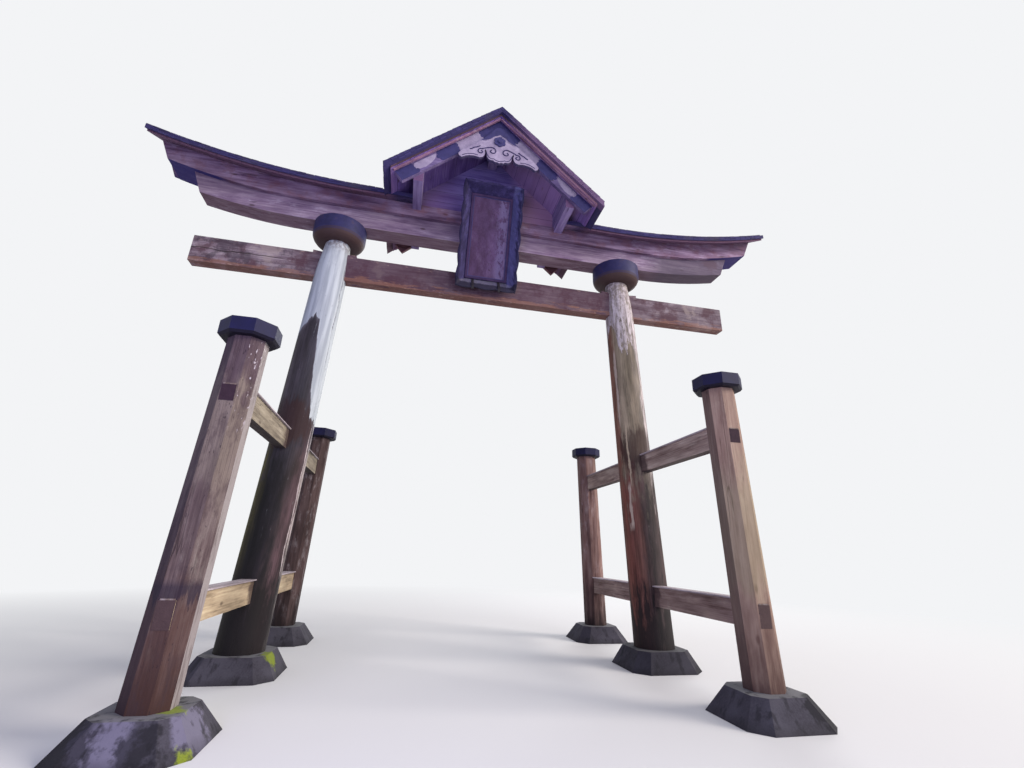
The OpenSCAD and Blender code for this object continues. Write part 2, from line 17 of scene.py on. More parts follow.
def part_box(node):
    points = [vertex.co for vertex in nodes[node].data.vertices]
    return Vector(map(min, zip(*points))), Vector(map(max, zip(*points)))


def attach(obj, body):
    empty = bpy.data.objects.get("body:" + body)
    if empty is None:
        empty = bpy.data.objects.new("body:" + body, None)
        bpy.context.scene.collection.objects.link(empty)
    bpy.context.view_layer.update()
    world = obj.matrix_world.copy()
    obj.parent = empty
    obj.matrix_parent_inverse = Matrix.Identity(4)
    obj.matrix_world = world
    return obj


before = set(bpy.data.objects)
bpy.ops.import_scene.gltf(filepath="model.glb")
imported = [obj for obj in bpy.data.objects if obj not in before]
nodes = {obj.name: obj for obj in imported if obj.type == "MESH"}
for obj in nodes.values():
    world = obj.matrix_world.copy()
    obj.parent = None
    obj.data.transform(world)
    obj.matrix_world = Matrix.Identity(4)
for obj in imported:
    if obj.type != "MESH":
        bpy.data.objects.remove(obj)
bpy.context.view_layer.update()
MM = 0.001

# %% [markdown]
# A colour is written as a web hex value, as it looks on a screen, and Blender wants it in linear light, so
# one function turns it. Another adds a shader node, sets its settings, and fills its sockets with plain
# values or with wires from other nodes. Wires can be summed and multiplied like numbers. The rest are steps
# that many finishes share: one colour laid over another, and where a place lies or which way a face looks.

# %% Colour and node helpers
DUSTY_SHINE = 0.2
tree = None


def linear(hex_colour):
    """A web hex colour as linear RGBA."""
    parts = [int(hex_colour[i:i + 2], 16) / 255 for i in (1, 3, 5)]
    return [p / 12.92 if p <= 0.04045 else ((p + 0.055) / 1.055) ** 2.4 for p in parts] + [1.0]


class Wire:
    """A node's output. Sums with wires and numbers add the Math nodes that work them out."""

    def __init__(self, socket):
        self.socket = socket

    def __add__(self, other):
        return add("Math", self, other, operation="ADD")

    def __sub__(self, other):
        return add("Math", self, other, operation="SUBTRACT")

    def __rsub__(self, other):
        return add("Math", other, self, operation="SUBTRACT")

    def __mul__(self, other):
        return add("Math", self, other, operation="MULTIPLY")

    def __abs__(self):
        return add("Math", self, operation="ABSOLUTE")


def add(kind, *values, named=(), out=None, **settings):
    """Adds a shader node with its settings. Values and wires fill the sockets in use, in order or by name.
    What comes back is the output that is named, or else the first one in use."""
    made = tree.nodes.new("ShaderNode" + kind)
    for name, value in settings.items():
        setattr(made, name, value)
    filled = list(zip([socket for socket in made.inputs if socket.enabled], values))
    filled += [(made.inputs[name], value) for name, value in dict(named).items()]
    for socket, value in filled:
        if isinstance(value, Wire):
            tree.links.new(value.socket, socket)
        else:
            socket.default_value = value
    return Wire(made.outputs[out] if out else next((s for s in made.outputs if s.enabled), None))


def new_finish(name):
    """An empty material with its Principled shader. Nodes that are added after this go in its tree."""
    global tree
    material = bpy.data.materials.new(name)
    material.use_nodes = True
    tree = material.node_tree
    return material, tree.nodes["Principled BSDF"]


def laid_over(colour, hex_colour, amount):
    """A colour with another laid over it by an amount, as paint, dirt and bleaching are."""
    return add("Mix", amount, colour, linear(hex_colour), data_type="RGBA")


def laid_where(colour, hex_colour, value, *reach):
    """The same, by an amount that follows a value: its from and to, and the amounts there if not 0 and 1."""
    return laid_over(colour, hex_colour, add("MapRange", value, *reach))


def between(amount, first_hex, second_hex):
    """A colour between two others, by an amount."""
    return add("Mix", amount, linear(first_hex), linear(second_hex), data_type="RGBA")


def facing(axis):
    """How far a face looks along an axis, from -1 to 1."""
    return add("SeparateXYZ", add("NewGeometry", out="True Normal"), out=axis)


def at(axis, place=None):
    """How far along an axis a place is, in metres. Unless one is given, it is the object's own place."""
    return add("SeparateXYZ", place or own_place(), out=axis)


def own_place():
    """Object coordinates, which stay with the piece when the gate is moved."""
    return add("TexCoord", out="Object")


def surface(shader, colour, height, depth, strength=0.6, rough=0.85):
    """Puts colour, relief and roughness on the shader."""
    bump = add("Bump", named={"Height": height, "Strength": strength, "Distance": depth})
    tree.links.new(colour.socket, shader.inputs["Base Color"])
    tree.links.new(bump.socket, shader.inputs["Normal"])
    shader.inputs["Roughness"].default_value = rough
    shader.inputs["Specular IOR Level"].default_value = DUSTY_SHINE


print("a mid grey is", [round(c, 3) for c in linear("#808080")])

# %% [markdown]
# The photograph was taken with a wide lens from just left of the middle, tilted up and turned a little.
# Its place and angles come from the gate's own vanishing lines. With them fixed, the render and the
# photograph lie over each other, so every difference that shows is a real one.

# %% Camera
CAMERA_AT = Vector((-0.870, -6.548, 1.357))
CAMERA_YAW, CAMERA_PITCH, CAMERA_ROLL = (math.radians(a) for a in (11.844, 19.683, 1.663))
IMAGE_WIDTH_PX, FOCAL_PX, SENSOR_MM = 1024, 472.68, 36.0

ahead = Vector((math.sin(CAMERA_YAW) * math.cos(CAMERA_PITCH), math.cos(CAMERA_YAW) * math.cos(CAMERA_PITCH),
                math.sin(CAMERA_PITCH)))
level_right = Vector((math.cos(CAMERA_YAW), -math.sin(CAMERA_YAW), 0))
level_up = level_right.cross(ahead)
right = math.cos(CAMERA_ROLL) * level_right + math.sin(CAMERA_ROLL) * level_up
up = -math.sin(CAMERA_ROLL) * level_right + math.cos(CAMERA_ROLL) * level_up

camera_data = bpy.data.cameras.new("camera")
camera_data.sensor_width = SENSOR_MM
camera_data.lens = FOCAL_PX / IMAGE_WIDTH_PX * SENSOR_MM
camera_data.clip_end = 200
camera = bpy.data.objects.new("camera", camera_data)
bpy.context.scene.collection.objects.link(camera)
turn = Matrix((right, up, -ahead)).transposed()
camera.matrix_world = Matrix.Translation(CAMERA_AT) @ turn.to_4x4()
bpy.context.scene.camera = camera
print("lens", round(camera_data.lens, 2), "mm")

# %% [markdown]
# The stage is a pale floor under an even sky, as in a studio. The sky is white only to the camera and to
# mirrors, through Light Path, so the background is bright while the gate gets a calm light. The floor
# turns into that same white with distance, for the camera only, so no horizon line crosses the picture.
# In the photograph the low sun stands to the right. A broad lamp on that side gives the posts their bright
# right faces, and weak ones in front, behind and towards the gable keep the rest readable.

# %% Stage and light
SKY_LIGHT = 0.56
FLOOR_RADIUS = 90.0
FADE_FROM, FADE_TO = 5.0, 15.0
BACKDROP = "#f3f4f6"

scene = bpy.context.scene
scene.view_settings.view_transform = "Standard"
world = bpy.data.worlds.new("sky")
scene.world = world
world.use_nodes = True
tree = world.node_tree
tree.nodes.clear()
seen = add("LightPath", out="Is Camera Ray")
for mirror_ray in ("Is Glossy Ray", "Is Transmission Ray"):
    seen = add("Math", seen, add("LightPath", out=mirror_ray), operation="MAXIMUM")
light_sky = add("Background", linear("#e6e8f6"), SKY_LIGHT)
seen_sky = add("Background", linear(BACKDROP), 1.0)
add("OutputWorld", add("MixShader", seen, light_sky, seen_sky))


def lamp(name, place, towards, size, watts, colour="#ffffff"):
    """A square lamp at one point, facing another."""
    data = bpy.data.lights.new(name, "AREA")
    data.size = size
    data.energy = watts
    data.color = linear(colour)[:3]
    lamp_object = bpy.data.objects.new(name, data)
    lamp_object.location = place
    lamp_object.rotation_euler = (Vector(towards) - Vector(place)).to_track_quat("-Z", "Y").to_euler()
    scene.collection.objects.link(lamp_object)


lamp("sun_side_lamp", (48, -22, 22.5), (0, 0, 3.5), 22, 36000, "#fff5ea")
lamp("front_lamp", (6, -13, 8), (0, 0, 4), 9, 720)
lamp("gable_lamp", (-3, -7, 2.5), (0, -0.5, 7), 3, 230, "#b9b4ff")
lamp("back_lamp", (9, 14, 11), (0, 0, 4), 9, 1500)

bpy.ops.object.select_all(action="DESELECT")
bpy.ops.mesh.primitive_circle_add(vertices=96, radius=FLOOR_RADIUS, fill_type="NGON", location=(0, 0, -0.001))
floor = bpy.context.object
floor.name = "floor"
floor_finish, shader = new_finish("pale_floor")
shader.inputs["Base Color"].default_value = linear("#cfcfd0")
shader.inputs["Roughness"].default_value = 0.9
far = add("VectorMath", own_place(), operation="LENGTH")
far = add("MapRange", far, FADE_FROM, FADE_TO) * add("LightPath", out="Is Camera Ray")
both = add("MixShader", far, Wire(shader.outputs[0]), add("Emission", linear(BACKDROP), 1.0))
tree.links.new(both.socket, tree.nodes["Material Output"].inputs["Surface"])
floor.data.materials.append(floor_finish)

# %% [markdown]
# The fine pieces are modelled once and then placed. These helpers keep that short. A flat piece is drawn
# as a filled curve, which Blender thickens and rounds at the edge, and is then turned into a mesh. What
# repeats is modelled once and copied with a mesh of its own at each place. A finished piece has its place
# in its mesh, so its object sits at the origin, and it rides on the gate's one body.

# %% Modelling helpers
WELD = 0.05 * MM


def only(piece):
    """Selects one object and nothing else."""
    bpy.ops.object.select_all(action="DESELECT")
    piece.select_set(True)
    bpy.context.view_layer.objects.active = piece


def welded(piece):
    """Merges doubled corners, and then turns all faces outward."""
    only(piece)
    bpy.ops.object.mode_set(mode="EDIT")
    bpy.ops.mesh.select_all(action="SELECT")
    bpy.ops.mesh.remove_doubles(threshold=WELD)
    bpy.ops.mesh.normals_make_consistent(inside=False)
    bpy.ops.object.mode_set(mode="OBJECT")
    return piece


def finished(piece, name, material):
    """Names a piece, puts its place in its mesh, gives it its finish and hands it to the frame."""
    only(piece)
    bpy.ops.object.transform_apply(location=True, rotation=True, scale=True)
    piece.name = name
    piece.data.name = name
    piece.data.materials.clear()
    piece.data.materials.append(material)
    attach(piece, "root")
    print(name, len(piece.data.polygons), "faces")
    return piece


def from_curve(splines, dimensions, **settings):
    """A curve through lists of points, turned into a mesh. Each list comes with whether it is closed."""
    data = bpy.data.curves.new("drawn", "CURVE")
    data.dimensions = dimensions
    for key, value in settings.items():
        setattr(data, key, value)
    for points, closed in splines:
        spline = data.splines.new("POLY")
        spline.points.add(len(points) - 1)
        for point, co in zip(spline.points, points):
            point.co = (*co, 0, 1) if len(co) == 2 else (*co, 1)
        spline.use_cyclic_u = closed
    piece = bpy.data.objects.new("drawn", data)
    scene.collection.objects.link(piece)
    only(piece)
    bpy.ops.object.convert(target="MESH")
    return welded(bpy.context.object)


def flat_piece(outlines, thickness, rounding):
    """A flat piece with rounded edges. It lies in X and Y, from Z = 0 up to its thickness."""
    half = thickness / 2
    piece = from_curve([(o, True) for o in outlines], "2D", fill_mode="BOTH", extrude=half - rounding,
                       bevel_depth=rounding, bevel_resolution=1, offset=-rounding)
    piece.location.z = half
    return piece


def rib(paths, radius, closed=False):
    """Round ribs along paths, with closed ends."""
    return from_curve([(p, closed) for p in paths], "3D", bevel_depth=radius, bevel_resolution=1,
                      use_fill_caps=not closed)


def placed(piece, matrix):
    """Adds a place to a piece's own."""
    bpy.context.view_layer.update()
    piece.matrix_world = matrix @ piece.matrix_world
    return piece


def copied(piece, matrix):
    """A copy with its own mesh, moved by a matrix."""
    twin = piece.copy()
    twin.data = piece.data.copy()
    scene.collection.objects.link(twin)
    bpy.context.view_layer.update()
    twin.matrix_world = matrix @ piece.matrix_world
    return twin


def joined(pieces):
    """Several meshes as one."""
    only(pieces[0])
    for piece in pieces:
        piece.select_set(True)
    bpy.ops.object.join()
    return bpy.context.object


def strewn(master, places, name):
    """One mesh that holds a copy of the master's mesh at each of many places. The master goes."""
    corners = np.array([v.co for v in master.data.vertices])
    faces = [list(p.vertices) for p in master.data.polygons]
    all_corners = []
    all_faces = []
    for number, place in enumerate(places):
        m = np.array(place)
        all_corners.append(corners @ m[:3, :3].T + m[:3, 3])
        all_faces += [[i + number * len(corners) for i in face] for face in faces]
    mesh = bpy.data.meshes.new(name)
    mesh.from_pydata(np.concatenate(all_corners).tolist(), [], all_faces)
    piece = bpy.data.objects.new(name, mesh)
    scene.collection.objects.link(piece)
    bpy.data.objects.remove(master)
    return piece


def block(size, rounding):
    """A block with rounded edges, centred on the origin."""
    bpy.ops.object.select_all(action="DESELECT")
    bpy.ops.mesh.primitive_cube_add(size=1)
    piece = bpy.context.object
    piece.scale = size
    bpy.ops.object.transform_apply(scale=True)
    bpy.ops.object.mode_set(mode="EDIT")
    bpy.ops.mesh.select_all(action="SELECT")
    bpy.ops.mesh.bevel(offset=rounding, segments=1, affect="EDGES")
    bpy.ops.object.mode_set(mode="OBJECT")
    return piece


def arc(centre, radius, start, end, steps=8):
    """Points round a circle, from one angle to another in degrees."""
    turns = [math.radians(start + (end - start) * i / steps) for i in range(steps + 1)]
    return [(centre[0] + radius * math.cos(t), centre[1] + radius * math.sin(t)) for t in turns]


def spiral(centre, inner, outer, start, end, steps=26):
    """Points on a spiral that widens from one radius to another."""
    points = []
    for i in range(steps + 1):
        share = i / steps
        t = math.radians(start + (end - start) * share)
        r = inner + (outer - inner) * share
        points.append((centre[0] + r * math.cos(t), centre[1] + r * math.sin(t)))
    return points


def mirrored(points):
    """The same points on the other side of the middle."""
    return [(-p[0], *p[1:]) for p in points]


# Flat pieces are drawn as seen from the front: drawing X, drawing Y and out of the drawing
UPRIGHT = Matrix(((1, 0, 0, 0), (0, 0, -1, 0), (0, 1, 0, 0), (0, 0, 0, 1)))
TO_BACK = Matrix.Rotation(math.pi, 4, "Z")


def both_ends(front, name, material):
    """Finishes a piece on the front gable, and a copy of it on the back one."""
    finished(copied(front, TO_BACK), name + "_back", material)
    finished(front, name + "_front", material)


def repeated(master, places, name, material):
    """Finishes one piece that holds a copy of the master at each place."""
    finished(strewn(master, places, name), name, material)


def dress(names, material):
    """Gives CAD nodes their finish."""
    for name in names:
        slots = nodes[name].material_slots
        if not slots:
            nodes[name].data.materials.append(material)
        for slot in slots:
            slot.material = material
    print(material.name, "on", ", ".join(names))


print("helpers ready")

# %% [markdown]
# Weathered softwood is what most of this gate is made of. Sun and rain have worn it to a grey-brown skin
# with long cloudy patches, fine ribs of harder grain, drying cracks, small knots, and a pale bloom where
# lichen has settled. The foot of each post is black with splashed water. All of it runs along the piece, so
# the pattern is drawn in coordinates that are turned until their Z follows the grain, and then squeezed
# across it. Where a face looks along the grain it is end grain, which drinks more water and goes darker.

# %% Weathered timber
RIB, RIB_LENGTH = 16 * MM, 0.9
PATCH, PATCH_LENGTH = 0.10, 0.60
CHECK_GAP, CHECK_LENGTH = 90 * MM, 2.2
BLOOM, BLOOM_LENGTH = 0.09, 0.26
CLOUD, CLOUD_LENGTH = 0.45, 1.6
KNOT_GAP = 0.33
GRAIN_UP = (0, 0, 0)
GRAIN_ALONG_X = (0, math.radians(90), 0)
GRAIN_ALONG_Y = (math.radians(90), 0, 0)
CRACK_COLOUR = "#1d1614"
KNOT_COLOUR = "#35241f"
WET_COLOUR = "#1f1719"
END_GRAIN = ("#35262f", "#4d3c45")


def stretched(coords, across, along):
    """Grain coordinates squeezed so that one unit is one feature wide and one feature long."""
    return add("Mapping", coords, named={"Scale": (1 / across, 1 / across, 1 / along)})


def streaks(coords, across, along, detail, roughness):
    """Noise whose blotches have a width across the grain and a length along it."""
    return add("TexNoise", stretched(coords, across, along), 1.0, detail, roughness)


def straying(noise, reach, low=0.25):
    """How far noise moves an edge to and fro. It gives the whole reach where it runs from low to 1 - low."""
    return add("MapRange", noise, low, 1.0 - low, -reach, reach)


def turned(vector, turn):
    """A vector turned so that Z follows the grain."""
    return add("VectorRotate", vector, named={"Rotation": turn}, rotation_type="EULER_XYZ", invert=True)


def grain_coords(turn=GRAIN_UP, centre=(0, 0, 0)):
    """Object coordinates about a centre, turned so that Z follows the grain."""
    return turned(add("VectorMath", own_place(), centre, operation="SUBTRACT"), turn)


def end_grain(turn):
    """1 on faces that look along the grain."""
    direction = turned(add("NewGeometry", out="True Normal"), turn)
    return add("MapRange", abs(at("Z", direction)), 0.8, 0.88)


def ramped(value, stops):
    """Colours at positions along a value."""
    made = add("ValToRGB", value)
    elements = made.socket.node.color_ramp.elements
    for number, (position, hex_colour) in enumerate(stops):
        element = elements[number] if number < 2 else elements.new(position)
        element.position = position
        element.color = linear(hex_colour)
    return made


def timber_pattern(coords, dark, mid, light, foot=0.0, bloom=0.4, bloom_colour="#a9a1a6"):
    """Colour and height of weathered wood in the given grain coordinates. Its foot is dark up to a height."""
    ribs = streaks(coords, RIB, RIB_LENGTH, 4.0, 0.6)
    patches = streaks(coords, PATCH, PATCH_LENGTH, 6.0, 0.58)
    tone = ribs * 0.35 + patches * 0.65
    colour = ramped(tone, [(0.36, dark), (0.65, light), (0.5, mid)])
    wide = streaks(coords, CLOUD, CLOUD_LENGTH, 3.0, 0.55)
    colour = add("VectorMath", colour, add("MapRange", wide, 0.34, 0.64, 0.72, 1.15), operation="SCALE")
    pale = streaks(coords, BLOOM, BLOOM_LENGTH, 8.0, 0.7)
    pale = add("MapRange", pale, 0.53, 0.66) * add("MapRange", wide, 0.42, 0.56)
    colour = laid_over(colour, bloom_colour, pale * bloom)
    crack = streaks(coords, CHECK_GAP, CHECK_LENGTH, 2.0, 0.5)
    crack = add("MapRange", abs(crack - 0.5), 0.003, 0.01, 1.0, 0.0)
    crack = crack * add("MapRange", wide, 0.5, 0.6)
    colour = laid_over(colour, CRACK_COLOUR, crack * 0.7)
    knots = add("TexVoronoi", stretched(coords, KNOT_GAP, 2.4 * KNOT_GAP), 1.0)
    knot = add("MapRange", knots, 0.03, 0.07, 1.0, 0.0)
    colour = laid_over(colour, KNOT_COLOUR, knot * 0.7)
    height = ribs + crack * -0.9
    if foot:
        ragged_z = at("Z") + (patches - 0.5) * 1.4
        wet = add("MapRange", ragged_z, 0.25, foot, 0.92, 0.0)
        colour = laid_over(colour, WET_COLOUR, wet)
    return colour, height


def weathered_timber(name, turn, dark, mid, light, centre=(0, 0, 0), paint=None, cut=END_GRAIN, **pattern):
    """Bare softwood that has stood in the weather: matt, patchy and cracked along the grain."""
    material, shader = new_finish(name)
    coords = grain_coords(turn, centre)
    colour, height = timber_pattern(coords, dark, mid, light, **pattern)
    rings = add("TexNoise", coords, 26.0, 3.0, 0.55)
    sawn = between(rings, cut[0], cut[1])
    colour = add("Mix", end_grain(turn), colour, sawn, data_type="RGBA")
    if paint:
        colour = paint(colour)
    surface(shader, colour, height, 5 * MM, 0.5, 0.84)
    return material


# %% [markdown]
# The lintels were once painted, and dark blue-black paint is left on the cut ends. The undersides of the
# upper lintel that stick out past the lower lintel get the same blue-black as painted shade. The tie beam
# carries dark grime and a long crack on its left, its foot is rubbed orange, and pale painted glints lie near
# its edges. Each of these is a colour laid over the bare timber, by an amount that depends on the place, and
# noise keeps the edges ragged, as wear is.

# %% Lintels and tie beam
# Blue-black paint on the cut ends, also used as painted shade under the upper lintel's far ends
END_PAINT_AND_SHADE = "#2a2760"
LOWER_LINTEL_REACH = 3.95
RED_STAIN_AT, RED_STAIN_R = (4.07, -0.25, 6.37), 0.20
TIE_CRACK_TO_X, TIE_CRACK_UP = -2.9, 0.21


def looks_down():
    """1 on undersides."""
    return add("MapRange", facing("Z"), -0.3, -0.7)


def looks_sideways():
    """1 on the cut ends of a beam that lies along X."""
    return add("MapRange", abs(facing("X")), 0.6, 0.8)


def ragged_spot(centre, radius, rag):
    """1 at a spot, falling to 0 at its radius, with a ragged edge."""
    gap = add("VectorMath", own_place(), centre, operation="DISTANCE")
    gap = gap + (rag - 0.5) * (2.0 * radius)
    return add("MapRange", gap, radius * 0.7, radius, 1.0, 0.0)


def upper_lintel_paint_and_shade(colour):
    """Painted shade in the paint's blue-black under the far ends, dark paint on the cut ends, and a redder
    face.
    """
    place = own_place()
    x = at("X")
    blotch = add("TexNoise", place, 5.0, 6.0, 0.65)
    colour = laid_where(colour, "#6b4448", blotch, 0.48, 0.62, 0.0, 0.45)
    # Painted shade: the undersides past the lower lintel are darkened to blue-black; the cut ends carry real
    # paint
    far = add("MapRange", abs(x), LOWER_LINTEL_REACH - 0.05, LOWER_LINTEL_REACH + 0.1)
    amount = add("Math", looks_down() * far, looks_sideways(), operation="MAXIMUM")
    return laid_over(colour, END_PAINT_AND_SHADE, amount * 0.9)


def lower_lintel_paint(colour):
    """A reddish stain on a greyer right end, a browner underside, and traces of paint on the cut ends."""
    place = own_place()
    x = at("X")
    blotch = add("TexNoise", place, 5.0, 6.0, 0.65)
    colour = laid_over(colour, "#5f4638", looks_down() * 0.45)
    red = ragged_spot(RED_STAIN_AT, RED_STAIN_R, blotch)
    colour = laid_over(colour, "#5e2f38", red * 0.65)
    colour = laid_where(colour, "#4c4552", x, 2.7, 3.1, 0.0, 0.72)
    return laid_over(colour, END_PAINT_AND_SHADE, looks_sideways() * 0.6)


def tie_wear_and_glints(colour):
    """Reddish and dark blotches, a crack at the left, a lower edge rubbed to orange-brown wood, and pale
    painted glints near the top and bottom edges.
    """
    place = own_place()
    x, z = at("X"), at("Z")
    low, high = (corner.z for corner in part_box("tie_beam"))
    blotch = add("TexNoise", place, 2.1, 7.0, 0.66)
    grime = add("MapRange", add("TexNoise", place, 4.3, 7.0, 0.66), 0.49, 0.56)
    grime = grime * add("MapRange", x, -2.3, -2.9, 0.0, 0.6)
    colour = laid_where(colour, "#452c35", blotch, 0.49, 0.57, 0.0, 0.75)
    colour = laid_over(colour, "#332c36", grime)
    colour = laid_where(colour, "#9a8d88", blotch, 0.44, 0.38, 0.0, 0.4)
    middle = add("MapRange", abs(x), 2.1, 2.9, 0.7, 0.0)
    colour = laid_over(colour, "#432c38", middle)
    wander = straying(add("TexNoise", place, 1.3, 3.0, 0.55), 0.04, 0.3)
    line = abs(z + wander - (low + TIE_CRACK_UP))
    line = add("MapRange", line, 0.004, 0.01, 1.0, 0.0)
    line = line * add("MapRange", x, TIE_CRACK_TO_X - 0.2, TIE_CRACK_TO_X, 1.0, 0.0)
    colour = laid_over(colour, CRACK_COLOUR, line * 0.8)
    rag = streaks(turned(place, GRAIN_ALONG_X), 0.06, 0.4, 7.0, 0.7)
    ragged_z = z + (rag - 0.5) * 0.5
    edge = add("MapRange", ragged_z, low + 0.03, low + 0.07, 1.0, 0.0)
    colour = laid_over(colour, "#805a48", edge * 0.5)
    # Painted glints: pale specks near the top and bottom edges stand in for the sun's sparkle
    glint = streaks(turned(place, GRAIN_ALONG_X), 0.012, 0.09, 4.0, 0.55)
    from_middle = abs(z - (low + high) / 2)
    near_edge = add("MapRange", from_middle, (high - low) * 0.25, (high - low) * 0.45, 0.15, 1.0)
    glint = add("MapRange", glint, 0.62, 0.67) * near_edge
    return laid_over(colour, "#b89c8c", glint * 0.6)


dress(["lower_lintel"], weathered_timber(
    "weathered_cedar_lower_lintel", GRAIN_ALONG_X, "#54405a", "#77647b", "#978696", paint=lower_lintel_paint,
    bloom=0.6, bloom_colour="#b1a6b8"))
dress(["upper_lintel"], weathered_timber(
    "weathered_cedar_upper_lintel", GRAIN_ALONG_X, "#533c55", "#776079", "#97829a", paint=upper_lintel_paint_and_shade,
    bloom=0.4, bloom_colour="#aa9eb4"))
dress(["tie_beam", "tie_wedges", "centre_strut"], weathered_timber(
    "weathered_cedar_tie", GRAIN_ALONG_X, "#4c3b44", "#6c5e68", "#8c8086", paint=tie_wear_and_glints, bloom=0.5,
    bloom_colour="#a49a9f"))

# %% [markdown]
# The four posts have weathered each in its own way. The nearest is a patchwork of stains and knots, with
# streaks of painted sunlight and painted glints on its right face and painted shade on its left faces and
# under its cap, so it gets the most layers. The right front one is greener halfway up, with painted shade on
# its left face. The back ones stand in shade, and plain dark timber will do for them.

# %% Posts
STAIN_BAND_Z = 1.02
DARK_KNOTS = [((-2.50, -2.30, 0.93), 0.05), ((-2.42, -2.30, 0.80), 0.04), ((-2.40, -2.30, 0.66), 0.04),
              ((-2.47, -2.30, 0.58), 0.03), ((-2.45, -2.30, 1.55), 0.04), ((-2.40, -2.28, 1.93), 0.03)]


def front_left_wear_and_shade(colour):
    """The nearest post: painted sunlight on its right face, painted shade under its cap and on its left
    faces, a beige patch, a blue-black stain and a red-brown foot.
    """
    place = own_place()
    z = at("Z")
    sunward = facing("X")
    cloud = streaks(place, 0.16, 0.4, 6.0, 0.62)
    ragged_z = z + straying(cloud, 0.35)
    beige = add("MapRange", ragged_z, 1.65, 2.05)
    beige = beige * add("MapRange", ragged_z, 2.6, 2.75, 1.0, 0.0)
    colour = laid_over(colour, "#74695f", beige * 0.6)
    # Painted shade: the post's top, under the cap, is darkened
    colour = laid_where(colour, "#42343d", ragged_z, 2.6, 2.9, 0.0, 0.6)
    colour = laid_where(colour, "#432c27", ragged_z, 1.15, 0.85, 0.0, 0.65)
    grime = streaks(place, 0.12, 0.35, 8.0, 0.7)
    colour = laid_where(colour, "#382b2f", grime, 0.52, 0.62, 0.0, 0.5)
    # Painted shade: faces that look left, away from the sun, are darkened
    colour = laid_where(colour, "#2b2230", sunward, -0.5, -0.65, 0.0, 0.5)
    drip = streaks(place, 0.05, 0.5, 4.0, 0.55)
    stain_z = z - STAIN_BAND_Z
    hang = add("MapRange", drip, 0.3, 0.7, -0.16, 0.02)
    stain = add("MapRange", stain_z - hang, -0.02, 0.02)
    stain = stain * add("MapRange", stain_z, 0.03, 0.09, 1.0, 0.0)
    stain = stain * add("MapRange", sunward, 0.8, 0.9, 1.0, 0.0)
    colour = laid_over(colour, "#201b2b", stain * 0.7)
    return front_left_marks(colour, place, z, sunward)


def front_left_marks(colour, place, z, sunward):
    """The nearest post's small marks: dark specks and fibres, knots, painted sunlight on its right face and
    painted glints there.
    """
    specks = streaks(place, 0.018, 0.05, 2.0, 0.55)
    colour = laid_where(colour, "#231a20", specks, 0.66, 0.71, 0.0, 0.65)
    fibre = streaks(place, 0.007, 0.4, 3.0, 0.55)
    colour = laid_where(colour, "#2c2023", fibre, 0.5, 0.62, 0.0, 0.3)
    rag = streaks(place, 0.03, 0.09, 4.0, 0.55)
    for centre, radius in DARK_KNOTS:
        colour = laid_over(colour, "#1f1517", ragged_spot(centre, radius, rag) * 0.7)
    flake = streaks(place, 0.05, 0.3, 6.0, 0.65)
    # Painted sunlight: faces that look right, towards the sun, are made pale in streaks
    amount = add("MapRange", sunward, 0.85, 0.95) * add("MapRange", flake, 0.36, 0.5, 0.4, 0.9)
    colour = laid_over(colour, "#8b8384", amount)
    # Painted glints: pale specks high up on the faces towards the sun
    glint = streaks(place, 0.02, 0.07, 3.0, 0.55)
    glint = add("MapRange", glint, 0.63, 0.67) * add("MapRange", z, 2.2, 2.5)
    glint = glint * add("MapRange", sunward, 0.5, 0.65)
    return laid_over(colour, "#b9b2b8", glint * 0.7)


def front_right_wear_and_shade(colour):
    """The right front post: green-beige halfway up, redder at its top and foot, and painted shade on its left
    face.
    """
    place = own_place()
    z = at("Z")
    cloud = streaks(place, 0.2, 0.5, 5.0, 0.55)
    ragged_z = z + straying(cloud, 0.4)
    middle = add("MapRange", ragged_z, 0.9, 1.3) * add("MapRange", ragged_z, 2.0, 2.5, 1.0, 0.0)
    colour = laid_over(colour, "#82755f", middle * 0.5)
    colour = laid_over(colour, "#7a5a52", (1.0 - middle) * 0.35)
    colour = laid_where(colour, "#4c3935", ragged_z, 1.0, 0.6, 0.0, 0.4)
    # Painted shade: faces that look left, away from the sun, are darkened
    return laid_where(colour, "#3f3232", facing("X"), -0.85, -0.95, 0.0, 0.6)


dress(["post_front_left"], weathered_timber(
    "stained_cedar_post_painted_light", GRAIN_UP, "#3d3132", "#554746", "#706360", foot=0.7, paint=front_left_wear_and_shade,
    bloom=0.3, bloom_colour="#8a857c"))
dress(["post_front_right"], weathered_timber(
    "sunlit_cedar_post", GRAIN_UP, "#6b5850", "#8d7a6e", "#a89789", foot=0.75, paint=front_right_wear_and_shade,
    bloom=0.3, bloom_colour="#b3a998"))
dress(["post_back_left"], weathered_timber(
    "shaded_cedar_post", GRAIN_UP, "#2b1f20", "#433434", "#584848", foot=0.9))
dress(["post_back_right"], weathered_timber(
    "red_brown_cedar_post", GRAIN_UP, "#483230", "#6b524e", "#86706a", foot=0.9))

# %% [markdown]
# Rails are darker where they enter a pillar, because the joint holds water, and their undersides carry
# painted shade.
# Their tenons' cut ends are darker on the upper rails than on the lower ones.

# %% Rails
DARK_TENON, PALE_TENON = ("#241620", "#35242e"), ("#3a2c2e", "#4b3b3b")
# Each rail's timber from dark to light, and its cut end
RAILS = {
    "rail_upper_left": (("#574e45", "#786e60", "#93897a"), DARK_TENON),
    "rail_upper_right": (("#634f49", "#8c7970", "#aa9a8e"), DARK_TENON),
    "rail_lower_left": (("#7b6b57", "#a59279", "#c2b194"), PALE_TENON),
    "rail_lower_right": (("#56423e", "#7a6661", "#958279"), PALE_TENON),
}


